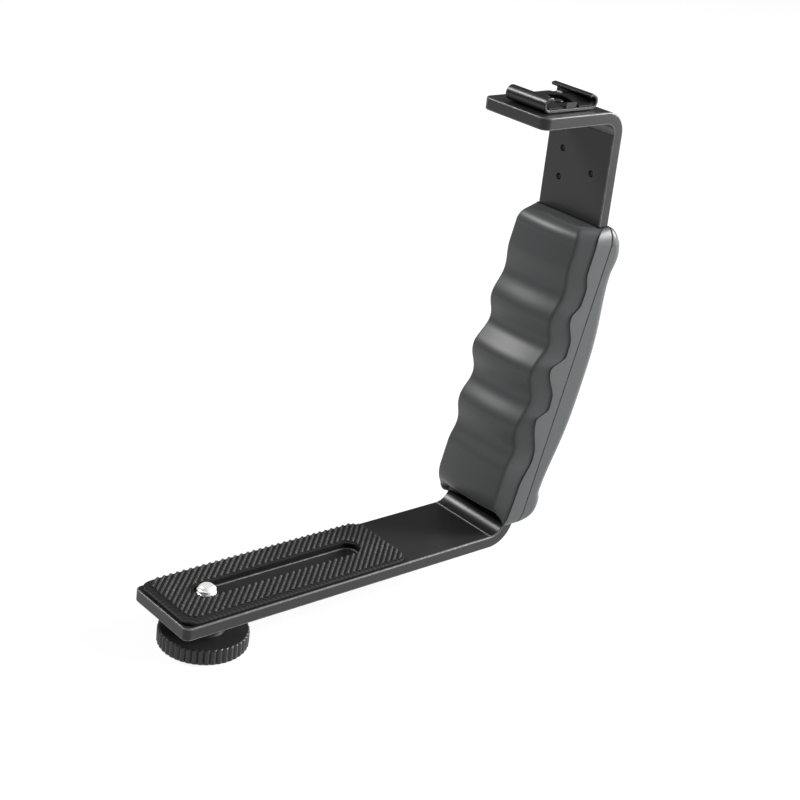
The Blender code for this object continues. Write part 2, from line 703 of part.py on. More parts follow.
def make_shoe():
    """The shoe: a flat floor with a rolled rail along each side, with its two rivet holes."""
    inner = SHOE_RAIL_RADIUS - SHOE_SHEET
    outline = (rail(-1, SHOE_RAIL_RADIUS, False) + rail(1, SHOE_RAIL_RADIUS, True)
               + rail(1, inner, False) + rail(-1, inner, True))
    middle = Matrix.Translation((0, SHOE_Y + SHOE_LENGTH / 2, 0))
    shoe = outline_solid("shoe_body", outline, SHOE_LENGTH, middle @ ON_SIDE)
    for name, place in rivet_places():
        combine(shoe, rod(f"shoe_rivet_hole_{name}", RIVET_RADIUS + SIDE_GAP, 4 * SHOE_SHEET, place))
    return finish(shoe, black_steel())


def wing_height(share):
    """How high an arched wing stands at a share of its length, from its free end."""
    return WING_RISE * math.sin(math.pi * share) ** 1.5


def make_spring():
    """The leaf spring: a flat tongue with a stop tab, and two arched wings, joined at the far end."""
    bottom = SHOE_FLOOR + SEAT_GAP
    near, far = SHOE_Y, SHOE_Y + SHOE_LENGTH - SPRING_END_GAP
    tongue = TONGUE_WIDTH / 2
    wing_edge = SHOE_WIDTH / 2 - SHOE_RAIL_RADIUS + WING_TUCK
    columns = (-wing_edge, -tongue - SPRING_SLIT, -tongue, tongue, tongue + SPRING_SLIT, wing_edge)
    free_length = far - SPRING_BRIDGE - near
    rows = [near + free_length * step / SPRING_STEPS for step in range(SPRING_STEPS + 1)] + [far]
    mesh = bpy.data.meshes.new("shoe_spring")
    shape = bmesh.new()
    bmesh.ops.create_grid(shape, x_segments=len(columns) - 1, y_segments=len(rows) - 1, size=1)
    for vert in shape.verts:
        column = round((vert.co.x + 1) / 2 * (len(columns) - 1))
        row = round((vert.co.y + 1) / 2 * (len(rows) - 1))
        is_wing = column in (0, 1, 4, 5)
        share = min(row / SPRING_STEPS, 1)
        vert.co = (SHOE_X + columns[column], rows[row], bottom + (wing_height(share) if is_wing else 0))
    bridge = far - SPRING_BRIDGE
    slits = [face for face in shape.faces
             if face.calc_center_median().y < bridge
             and tongue < abs(face.calc_center_median().x - SHOE_X) < tongue + SPRING_SLIT]
    bmesh.ops.delete(shape, geom=slits, context="FACES")
    tab = [edge for edge in shape.edges
           if all(vert.co.y < near + SEAT_GAP and abs(vert.co.x - SHOE_X) < tongue + SEAT_GAP
                  for vert in edge.verts)]
    raised = bmesh.ops.extrude_edge_only(shape, edges=tab)["geom"]
    verts = [item for item in raised if isinstance(item, bmesh.types.BMVert)]
    bmesh.ops.translate(shape, verts=verts, vec=(0, 0, STOP_TAB_HEIGHT))
    bmesh.ops.recalc_face_normals(shape, faces=shape.faces)
    shape.to_mesh(mesh)
    shape.free()
    spring = add_object("shoe_spring", mesh)
    solidify = spring.modifiers.new("sheet", "SOLIDIFY")
    solidify.thickness = SPRING_SHEET
    solidify.offset = 1
    solidify.use_even_offset = True
    for name, place in rivet_places():
        combine(spring, rod(f"spring_rivet_hole_{name}", RIVET_RADIUS + SIDE_GAP, 4 * SHOE_RAIL_RADIUS, place))
    return finish(spring, black_steel())


def make_rivets():
    """The two rivets through the spring, the shoe and the top plate."""
    top = SEAT_GAP + SHOE_SHEET + SEAT_GAP + SPRING_SHEET + SEAT_GAP
    under = -(BAR_THICK + SEAT_GAP)
    crown = RIVET_HEAD_RADIUS - RIVET_HEAD_HEIGHT / 2
    profile = ((0, top + RIVET_HEAD_HEIGHT), (crown, top + RIVET_HEAD_HEIGHT / 2), (RIVET_HEAD_RADIUS, top),
               (RIVET_RADIUS, top), (RIVET_RADIUS, under), (RIVET_HEAD_RADIUS, under),
               (crown, under - RIVET_HEAD_HEIGHT / 2), (0, under - RIVET_HEAD_HEIGHT))
    for name, place in rivet_places():
        finish(turned(f"shoe_rivet_{name}", profile, place, steps=ROUND_STEPS // 2), black_steel())


PIECES, CUTTERS = start_scene()
make_bar()
make_pad()
SCREW_AXIS = screw_axis()
make_screw(SCREW_AXIS)
make_knob(SCREW_AXIS)
make_washer(SCREW_AXIS)
make_retainer(SCREW_AXIS)
make_finger_half()
make_palm_half()
make_grip_screws()
make_shoe()
make_spring()
make_rivets()
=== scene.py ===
"""The looks of a camera L-bracket: a bent flat bar with a ribbed pad, a captive camera screw with its
thumb knob, a moulded grip in two halves and an accessory shoe. Lengths are in metres.
"""

import logging
import math
from collections.abc import Callable, Iterator, Sequence
from contextlib import contextmanager
from dataclasses import dataclass, field, replace
from enum import Enum
from functools import cache
from itertools import pairwise

import bmesh
import bpy
from mathutils import Matrix, Vector


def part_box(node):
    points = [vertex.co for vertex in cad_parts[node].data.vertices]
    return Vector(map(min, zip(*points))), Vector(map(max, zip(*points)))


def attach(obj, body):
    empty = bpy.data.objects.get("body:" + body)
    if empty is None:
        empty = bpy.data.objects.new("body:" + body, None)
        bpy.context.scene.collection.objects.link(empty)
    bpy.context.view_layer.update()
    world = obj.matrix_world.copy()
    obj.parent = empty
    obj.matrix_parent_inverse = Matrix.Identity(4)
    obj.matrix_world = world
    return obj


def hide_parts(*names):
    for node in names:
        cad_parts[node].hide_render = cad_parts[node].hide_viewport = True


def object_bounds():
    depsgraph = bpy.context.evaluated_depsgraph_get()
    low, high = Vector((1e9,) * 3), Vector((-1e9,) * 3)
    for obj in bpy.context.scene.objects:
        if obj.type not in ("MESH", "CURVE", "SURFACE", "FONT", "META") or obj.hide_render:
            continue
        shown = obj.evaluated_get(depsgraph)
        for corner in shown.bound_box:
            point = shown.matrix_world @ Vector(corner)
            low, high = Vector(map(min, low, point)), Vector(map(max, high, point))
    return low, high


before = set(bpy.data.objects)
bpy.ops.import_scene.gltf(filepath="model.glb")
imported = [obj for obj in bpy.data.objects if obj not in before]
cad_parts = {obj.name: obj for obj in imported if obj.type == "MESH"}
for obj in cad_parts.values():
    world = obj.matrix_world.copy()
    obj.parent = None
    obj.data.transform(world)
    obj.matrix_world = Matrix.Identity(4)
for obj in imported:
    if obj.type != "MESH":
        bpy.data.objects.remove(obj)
CAD_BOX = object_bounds()
LOG = logging.getLogger("bracket")
Object = bpy.types.Object
Point = tuple[float, float]
Triple = tuple[float, float, float]
Ring = list[Vector]

TURN = 2 * math.pi
QUARTER = math.pi / 2
HEX_TURN = math.pi / 6
MERGE = 1e-6  # Points this close are one.
NEAR = 1e-5  # A point this close to a wall is on it.
RIM = 1e-4  # A point this close to a hole's radius is on its rim.
ALONG = 0.9  # A direction with more than this share of an axis runs along it.
WALL = 0.3  # A face whose normal has less than this share of an axis is a wall along it.
SHARP = 1.0  # Faces that meet at more than this turn, in radians, meet at a rim.


class Part(Enum):
    """The element of a mesh that is selected in edit mode."""

    VERTS = "VERT"
    EDGES = "EDGE"
    FACES = "FACE"


class Body(Enum):
    """The bodies that the bracket's joints move."""

    BRACKET = "bracket"
    RING = "slot_ring"
    WASHER = "lift_washer"
    SCREW = "screw_and_knob"


# Edit-mode tools


def isolate(*objs: Object) -> None:
    """Selects some objects and nothing else, the first of them active.

    Args:
        objs: the objects.
    """
    bpy.ops.object.select_all(action="DESELECT")
    for obj in objs:
        obj.select_set(True)
    bpy.context.view_layer.objects.active = objs[0]


def add(kind: str, name: str, **settings: object) -> Object:
    """Adds a primitive at its place and gives the object a name.

    Args:
        kind: the primitive's name in bpy.ops, such as "cube".
        name: the new object's name.
        settings: the operator's own settings.

    Returns:
        The object, with its place already in its mesh.
    """
    bpy.ops.object.select_all(action="DESELECT")
    getattr(bpy.ops.mesh, f"primitive_{kind}_add")(**settings)
    obj = bpy.context.active_object
    obj.name = obj.data.name = name
    bpy.ops.object.transform_apply(location=True, rotation=True, scale=True)
    return obj


@contextmanager
def editing(obj: Object, part: Part = Part.FACES) -> Iterator[None]:
    """Opens one object in edit mode, with all of it selected, and closes it again.

    Args:
        obj: the object to edit.
        part: what is selected there.
    """
    isolate(obj)
    bpy.ops.object.mode_set(mode="EDIT")
    bpy.ops.mesh.select_mode(type=part.value)
    bpy.ops.mesh.select_all(action="SELECT")
    yield
    bpy.ops.object.mode_set(mode="OBJECT")


def pick(obj: Object, part: Part, test: Callable[..., bool]) -> None:
    """Selects the vertices, edges or faces that pass a test, and nothing else.

    Args:
        obj: the object in edit mode.
        part: what is tested.
        test: says whether an element is picked.
    """
    bpy.ops.mesh.select_mode(type=part.value)
    bpy.ops.mesh.select_all(action="DESELECT")
    shape = bmesh.from_edit_mesh(obj.data)
    shape.normal_update()
    for item in [item for item in getattr(shape, part.name.lower()) if test(item)]:
        item.select_set(True)
    shape.select_flush_mode()
    bmesh.update_edit_mesh(obj.data)


def push(x: float, y: float, z: float) -> None:
    """Extrudes what is picked and moves it."""
    bpy.ops.mesh.extrude_region_move(TRANSFORM_OT_translate={"value": (x, y, z)})


def shift(x: float, y: float, z: float) -> None:
    """Moves what is picked."""
    bpy.ops.transform.translate(value=(x, y, z))


def stretch(factors: Triple, centre: Vector) -> None:
    """Scales what is picked about a point."""
    bpy.ops.transform.resize(value=factors, center_override=centre)


def bevel(width: float, steps: int, affect: str = "EDGES") -> None:
    """Rounds the edges or corners that are picked."""
    bpy.ops.mesh.bevel(offset=width, segments=steps, affect=affect, clamp_overlap=False)


def face_out(merge: bool = False) -> None:
    """Selects the whole mesh in edit mode and points its faces outwards.

    Args:
        merge: whether its doubles are merged first.
    """
    bpy.ops.mesh.select_all(action="SELECT")
    if merge:
        bpy.ops.mesh.remove_doubles(threshold=MERGE)
    bpy.ops.mesh.normals_make_consistent(inside=False)


def turn_sheet(sheet: Object, up: bool, level: Callable[[Vector], bool]) -> None:
    """Turns a sheet, all selected in edit mode, so that its level part faces up or down.

    Args:
        sheet: the sheet.
        up: whether it faces up.
        level: says whether a face with this centre is in the level part.
    """
    shape = bmesh.from_edit_mesh(sheet.data)
    shape.normal_update()
    if (next(face for face in shape.faces if level(face.calc_center_median())).normal.z > 0) != up:
        bpy.ops.mesh.flip_normals()


def apply(obj: Object, kind: str, **settings: object) -> None:
    """Adds a modifier to an object, sets it and applies it.

    Args:
        obj: the object that is changed.
        kind: the modifier's type.
        settings: the modifier's own settings.
    """
    isolate(obj)
    modifier = obj.modifiers.new(kind.lower(), kind)
    for setting, value in settings.items():
        setattr(modifier, setting, value)
    bpy.ops.object.modifier_apply(modifier=modifier.name)


def round_edges(obj: Object, width: float, steps: int, angle: float) -> None:
    """Rounds every edge of an object that is sharper than an angle in degrees."""
    apply(obj, "BEVEL", width=width, segments=steps, limit_method="ANGLE",
          angle_limit=math.radians(angle), use_clamp_overlap=False)


def carve(obj: Object, tool: Object, operation: str = "DIFFERENCE") -> None:
    """Cuts an object with a tool, or joins them, and removes the tool."""
    apply(obj, "BOOLEAN", operation=operation, solver="EXACT", object=tool)
    bpy.data.objects.remove(tool)


def bore(obj: Object, place: Matrix, radius: float, length: float, sides: int = 32) -> None:
    """Cuts a hole with a rod.

    Args:
        obj: the object that is cut.
        place: a frame at the rod's middle, its Z along the rod.
        radius: the rod's radius.
        length: the rod's length.
        sides: how many sides the rod has.
    """
    rod = add("cylinder", "rod", vertices=sides, radius=radius, depth=length)
    rod.data.transform(place)
    carve(obj, rod)


def hex_corner(flats: float) -> float:
    """How far a hexagon's corners are from its middle, from its width across the flats."""
    return flats / 2 / math.cos(HEX_TURN)


def polar(radius: float, turn: float, height: float, axis_x: float = 0.0) -> Vector:
    """A point at a radius and a turn round an upright axis."""
    return Vector((axis_x + radius * math.cos(turn), radius * math.sin(turn), height))


def arc(centre: Point, radius: float, start: float, end: float, steps: int) -> list[Point]:
    """Points along an arc, both ends included.

    Args:
        centre: the arc's centre.
        radius: its radius.
        start: the first angle, in radians.
        end: the last angle, in radians.
        steps: how many steps lie between them.

    Returns:
        The points, as pairs.
    """
    angles = [start + (end - start) * step / steps for step in range(steps + 1)]
    return [(centre[0] + radius * math.cos(a), centre[1] + radius * math.sin(a)) for a in angles]


def raise_rings(name: str, rings: Sequence[Ring], hollow: bool = False) -> Object:
    """Models a form ring by ring: a circle is laid on the first ring and extruded on to each next one.

    Args:
        name: the new object's name.
        rings: the rings, each with the same number of points.
        hollow: whether the last ring closes on the first, as round a washer, and no cap is filled.

    Returns:
        The object, closed and facing outwards.
    """
    obj = add("circle", name, vertices=len(rings[0]), fill_type="NOTHING" if hollow else "NGON")
    with editing(obj, Part.EDGES if hollow else Part.FACES):
        shape = bmesh.from_edit_mesh(obj.data)
        spot = shape.verts.layers.int.new("spot")
        for index, vert in enumerate(shape.verts):
            vert[spot] = index
        bmesh.update_edit_mesh(obj.data)
        for number, ring in enumerate([*rings, rings[0]] if hollow else rings):
            if number:
                bpy.ops.mesh.extrude_region()
            shape = bmesh.from_edit_mesh(obj.data)
            spot = shape.verts.layers.int["spot"]
            for vert in shape.verts:
                if vert.select:
                    vert.co = ring[vert[spot]]
            bmesh.update_edit_mesh(obj.data)
        face_out(merge=hollow)
    obj.data.attributes.remove(obj.data.attributes["spot"])
    return obj


def turned(
    name: str, profile: Sequence[Point], place: Matrix, sides: int = 64, hollow: bool = False
) -> Object:
    """Turns a profile of (radius, height) pairs round its own Z.

    Args:
        name: the new object's name.
        profile: the profile, from its lower end up, or round its section where it is hollow.
        place: where its axis stands.
        sides: how many points are in each ring.
        hollow: whether the section closes on itself, as in a washer.

    Returns:
        The object.
    """
    turns = [TURN * index / sides for index in range(sides)]
    rings = [[place @ polar(radius, turn, height) for turn in turns] for radius, height in profile]
    return raise_rings(name, rings, hollow)


def stand(node: str) -> tuple[float, Vector, Vector]:
    """Where a solid's middle is along X, and its lowest and highest corners."""
    low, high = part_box(node)
    return (low.x + high.x) / 2, low, high


def hand_over(
    piece: Object, angle: float, finish: "Finish", body: Body, node: str
) -> None:
    """Shades a piece, dresses it, hangs it on its body and hides the solid that it stands for.

    Args:
        piece: the modelled object, at the origin.
        angle: the sharpest edge that is shaded smooth, in degrees.
        finish: what it is dressed in.
        body: the body that it rides on.
        node: the solid that it stands for.
    """
    with editing(piece):
        face_out()
    bpy.ops.object.shade_smooth_by_angle(angle=math.radians(angle))
    apply(piece, "WEIGHTED_NORMAL", keep_sharp=True)
    piece.data.materials.clear()
    piece.data.materials.append(finish.material())
    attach(piece, body.value)
    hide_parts(node)
    LOG.info("%s: %d faces, for %s", piece.name, len(piece.data.polygons), node)


def paint_wall_shade(piece: Object, finish: "Finish", test: Callable[..., bool]) -> None:
    """Paints shade on some faces of a dressed piece by giving them another finish.

    Args:
        piece: the piece.
        finish: the finish that holds the painted shade.
        test: says whether a face gets it.
    """
    piece.data.materials.append(finish.material())
    for face in piece.data.polygons:
        if test(face):
            face.material_index = len(piece.data.materials) - 1


# Shader maths


class Value:
    """A shader socket that adds Math nodes to its tree when it is calculated with."""

    def __init__(self, nodes: "NodeTree", socket: bpy.types.NodeSocket) -> None:
        """Wraps one output socket of a tree."""
        self.nodes, self.socket = nodes, socket

    def math(self, operation: str, *values: "Value | float") -> "Value":
        """Adds one Math node and gives its result."""
        return self.nodes.node("Math", {"operation": operation}, dict(enumerate(values)))

    def __add__(self, other: "Value | float") -> "Value":
        """self + other."""
        return self.math("ADD", self, other)

    def __sub__(self, other: "Value | float") -> "Value":
        """self - other."""
        return self.math("SUBTRACT", self, other)

    def __rsub__(self, other: float) -> "Value":
        """other - self."""
        return self.math("SUBTRACT", other, self)

    def __mul__(self, other: "Value | float") -> "Value":
        """self * other."""
        return self.math("MULTIPLY", self, other)

    __radd__ = __add__
    __rmul__ = __mul__

    def clamped(self, low: float = 0.0, high: float = 1.0) -> "Value":
        """The value kept between two numbers."""
        return self.math("MINIMUM", self.math("MAXIMUM", self, low), high)

    def sine(self) -> "Value":
        """The value's sine."""
        return self.math("SINE", self)


@dataclass(frozen=True)
class NodeTree:
    """A node tree that is filled by calls."""

    tree: bpy.types.NodeTree

    def node(
        self, kind: str, settings: dict | None = None, inputs: dict | None = None, out: int | str = 0
    ) -> Value:
        """Adds one node.

        Args:
            kind: the node's type, without the words ShaderNode.
            settings: its own settings.
            inputs: values or links for its sockets, by name or number.
            out: which of its outputs is returned.

        Returns:
            That output.
        """
        made = self.tree.nodes.new(f"ShaderNode{kind}")
        for setting, value in (settings or {}).items():
            setattr(made, setting, value)
        for socket, value in (inputs or {}).items():
            self.fill(made.inputs[socket], value)
        return Value(self, made.outputs[out])

    def fill(self, socket: bpy.types.NodeSocket, value: object) -> None:
        """Links a value to a socket, or sets the socket to a number or a colour.

        Args:
            socket: the socket.
            value: what goes into it.
        """
        if isinstance(value, Value):
            self.tree.links.new(value.socket, socket)
        else:
            socket.default_value = value

    def place(self) -> Value:
        """Each point's own coordinates on the bracket."""
        return self.node("TexCoord", out="Object")

    def noise(self, size: float, detail: float = 2.0) -> Value:
        """A noise from 0 to 1 whose blots have a size."""
        inputs = {"Vector": self.place(), "Scale": 1.0 / size, "Detail": detail, "Roughness": 0.55}
        return self.node("TexNoise", {"noise_dimensions": "3D"}, inputs)

    def swing(self, size: float, detail: float, reach: float) -> Value:
        """A noise round zero that goes as far as a reach to both sides."""
        return (self.noise(size, detail) - 0.5) * (2.0 * reach)

    def scaled(self, colour: Triple, shade: Value) -> Value:
        """A colour made lighter or darker by a shade."""
        return self.node("VectorMath", {"operation": "SCALE"}, {0: colour, "Scale": shade}, "Vector")

    def mixed(self, share: Value, under: Value, over: Triple) -> Value:
        """One colour laid over another by a share from 0 to 1."""
        return self.node("Mix", {"data_type": "RGBA"}, {0: share, 6: under, 7: (*over, 1)}, 2)


@dataclass(frozen=True)
class Finish:
    """A surface: its colour, its gloss, and how both vary at the scale of the real one.

    A size is the length of one blot or bump, and a depth how high it stands.
    """

    name: str
    colour: Triple
    roughness: float
    metallic: float = 0.0
    specular: float = 0.5
    mottle: float = 0.12
    mottle_size: float = 0.012
    mottle_detail: float = 4.0
    gloss_change: float = 0.06
    gloss_size: float = 0.006
    gloss_detail: float = 3.0
    least_roughness: float = 0.02
    grain_size: float = 0.0004
    grain_depth: float = 0.000004
    wave_size: float = 0.0018
    wave_depth: float = 0.000006

    def height(self, nodes: NodeTree) -> Value:
        """The surface's height in metres: fine grain over slow waves."""
        return nodes.noise(self.grain_size) * self.grain_depth + nodes.noise(self.wave_size) * self.wave_depth

    def shade(self, nodes: NodeTree) -> Value:
        """How light each place is, about 1."""
        return 1.0 + nodes.swing(self.mottle_size, self.mottle_detail, self.mottle)

    def rough(self, nodes: NodeTree) -> Value:
        """The roughness at each place."""
        change = nodes.swing(self.gloss_size, self.gloss_detail, self.gloss_change)
        return (self.roughness + change).clamped(self.least_roughness)

    def colouring(self, nodes: NodeTree) -> Value:
        """The colour at each place."""
        return nodes.scaled(self.colour, self.shade(nodes))

    @cache
    def material(self) -> bpy.types.Material:
        """Builds the material, once for each finish.

        Returns:
            The material, with its nodes.
        """
        made = bpy.data.materials.new(self.name)
        made.use_nodes = True
        nodes = NodeTree(made.node_tree)
        relief = {"Height": self.height(nodes), "Strength": 1.0, "Distance": 1.0}
        sockets = {
            "Base Color": self.colouring(nodes), "Roughness": self.rough(nodes),
            "Normal": nodes.node("Bump", inputs=relief),
            "Metallic": self.metallic, "Specular IOR Level": self.specular,
        }
        for socket, value in sockets.items():
            nodes.fill(made.node_tree.nodes["Principled BSDF"].inputs[socket], value)
        return made


@dataclass(frozen=True)
class EdgedPaint(Finish):
    """Paint that is thin and worn along the edges, which the mesh marks face by face; the edges are also
    lighter as a painted highlight.
    """

    rub_and_highlight_colour: Triple = (0.34, 0.34, 0.335)
    rub_and_highlight_share: float = 0.9
    edge_size: float = 0.0025
    patch_detail: float = 3.0
    patch_gain: float = 1.6
    patch_loss: float = 0.3
    least_patch: float = 0.5

    def colouring(self, nodes: NodeTree) -> Value:
        """The paint's colour, lighter along the marked edges, where it is worn and where a highlight is
        painted.

        Args:
            nodes: the material's nodes.

        Returns:
            The colour at each place.
        """
        # The edge mark lightens the paint as wear and as a painted highlight.
        edge = nodes.node("Attribute", {"attribute_name": "edge"}, out="Fac")
        patches = nodes.noise(self.edge_size, self.patch_detail) * self.patch_gain - self.patch_loss
        rubbed_and_lit = (edge * patches.clamped(self.least_patch) * self.rub_and_highlight_share).clamped()
        return nodes.mixed(rubbed_and_lit, super().colouring(nodes), self.rub_and_highlight_colour)


@dataclass(frozen=True)
class LathedPlate(Finish):
    """Bright plate with the fine rings that a lathe leaves round an axis."""

    axis_x: float = 0.0
    ring_pitch: float = 0.00018
    ring_depth: float = 0.0000015

    def height(self, nodes: NodeTree) -> Value:
        """Fine rings round the axis, over the grain.

        Args:
            nodes: the material's nodes.

        Returns:
            The surface's height in metres.
        """
        centred = nodes.node("Mapping", inputs={"Vector": nodes.place(), "Location": (-self.axis_x, 0, 0)})
        flat = nodes.node("VectorMath", {"operation": "MULTIPLY"}, {0: centred, 1: (1, 1, 0)})
        radius = nodes.node("VectorMath", {"operation": "LENGTH"}, {0: flat}, "Value")
        return super().height(nodes) + (radius * (TURN / self.ring_pitch)).sine() * self.ring_depth


@dataclass(frozen=True)
class DustSheenAndPitShadeRubber(Finish):
    """Matt rubber, grey on its ribs' crests, where it is dusty and where a sheen is painted, and dark with
    painted shade in its valleys and in spots along each valley.
    """

    dust_and_sheen: Triple = (0.16, 0.16, 0.158)
    dust_and_sheen_share: float = 0.85
    dust_and_sheen_gain: float = 1.3
    dust_and_sheen_loss: float = 0.1
    painted_pit_shade: float = 0.85
    pit_pitch: float = 0.00125
    rib_angle: float = math.radians(43)
    rib_foot: float = -0.00038

    def crest(self, nodes: NodeTree) -> Value:
        """How high each place is on a rib, from 0 at its foot to 1 at the pad's top, which is at height 0."""
        height = nodes.node("SeparateXYZ", inputs={0: nodes.place()}, out="Z")
        return nodes.node("MapRange", inputs={"Value": height, "From Min": self.rib_foot, "From Max": 0.0})

    def painted_pit_depth(self, nodes: NodeTree) -> Value:
        """Where painted shade falls in spots along the ribs: 1 in the middle of each spot and 0 between two
        of them.

        Args:
            nodes: the material's nodes.

        Returns:
            How much of a spot's painted shade lies at each place.
        """
        along_ribs = {"Vector": nodes.place(), "Rotation": (0, 0, -self.rib_angle)}
        along = nodes.node("SeparateXYZ", inputs={0: nodes.node("Mapping", inputs=along_ribs)}, out="X")
        return 0.5 + (along * (TURN / self.pit_pitch)).sine() * 0.5

    def colouring(self, nodes: NodeTree) -> Value:
        """The rubber's colour: grey on the ribs' crests, dusty and with a painted sheen, and nearly black
        with painted shade in the valleys.

        Args:
            nodes: the material's nodes.

        Returns:
            The colour at each place.
        """
        # Valleys are darkened in spots as painted shade; crests are lightened as dusty wear and a painted
        # sheen.
        crest = self.crest(nodes)
        patches = nodes.noise(self.mottle_size, self.mottle_detail) * self.dust_and_sheen_gain - self.dust_and_sheen_loss
        pit_shaded = 1.0 - self.painted_pit_depth(nodes) * (1.0 - crest) * self.painted_pit_shade
        rubber = nodes.scaled(self.colour, self.shade(nodes) * pit_shaded)
        return nodes.mixed((crest * patches * self.dust_and_sheen_share).clamped(), rubber, self.dust_and_sheen)


@dataclass(frozen=True)
class Finishes:
    """Every finish on the bracket."""

    # The bar's paint is lighter along its edges: wear and a painted highlight.
    paint: Finish = EdgedPaint("bar_satin_paint", (0.026, 0.026, 0.027), 0.31, specular=0.34, mottle=0.05,
                               gloss_change=0.025, wave_depth=0.0000015)
    # The rubber's crests are dusty and lightened as a painted sheen; its valleys are darkened as painted
    # shade.
    rubber: Finish = DustSheenAndPitShadeRubber("rubber_dust_sheen_pit_shade", (0.021, 0.021, 0.0212), 0.6, specular=0.22,
                                 grain_depth=0.000008)
    # Darker than the bar's paint: painted shade for the walls of the bar's slot.
    slot: Finish = Finish("slot_wall_painted_shade", (0.014, 0.014, 0.014), 0.5, specular=0.22, mottle=0.2)
    # Nearly black: painted shade for the walls of the small holes and of the pad's slot.
    inside: Finish = Finish("inner_wall_painted_shade", (0.006, 0.006, 0.006), 0.85, specular=0.10, mottle=0.3)
    plate: Finish = LathedPlate("bright_plate", (0.90, 0.90, 0.89), 0.45, metallic=0.45, mottle=0.04)
    knob: Finish = Finish("satin_knob_plastic", (0.020, 0.020, 0.0205), 0.43, mottle=0.06)
    nylon: Finish = Finish("black_nylon", (0.022, 0.022, 0.022), 0.55, specular=0.3)
    grip: Finish = Finish("moulded_grip_plastic", (0.086, 0.0875, 0.0895), 0.37, specular=0.26, mottle=0.05,
                          gloss_change=0.02, grain_size=0.0005, grain_depth=0.000005, wave_depth=0.000002)
    steel: Finish = Finish("black_plated_steel", (0.022, 0.022, 0.023), 0.36, metallic=0.2, specular=0.35,
                           gloss_change=0.08)
    gloss: Finish = Finish("gloss_black_steel", (0.010, 0.010, 0.0105), 0.34, specular=0.42,
                           gloss_change=0.02, grain_depth=0.0000005, wave_depth=0.0000005)


FINISHES = Finishes()


# The bent bar and what every other piece takes its place from


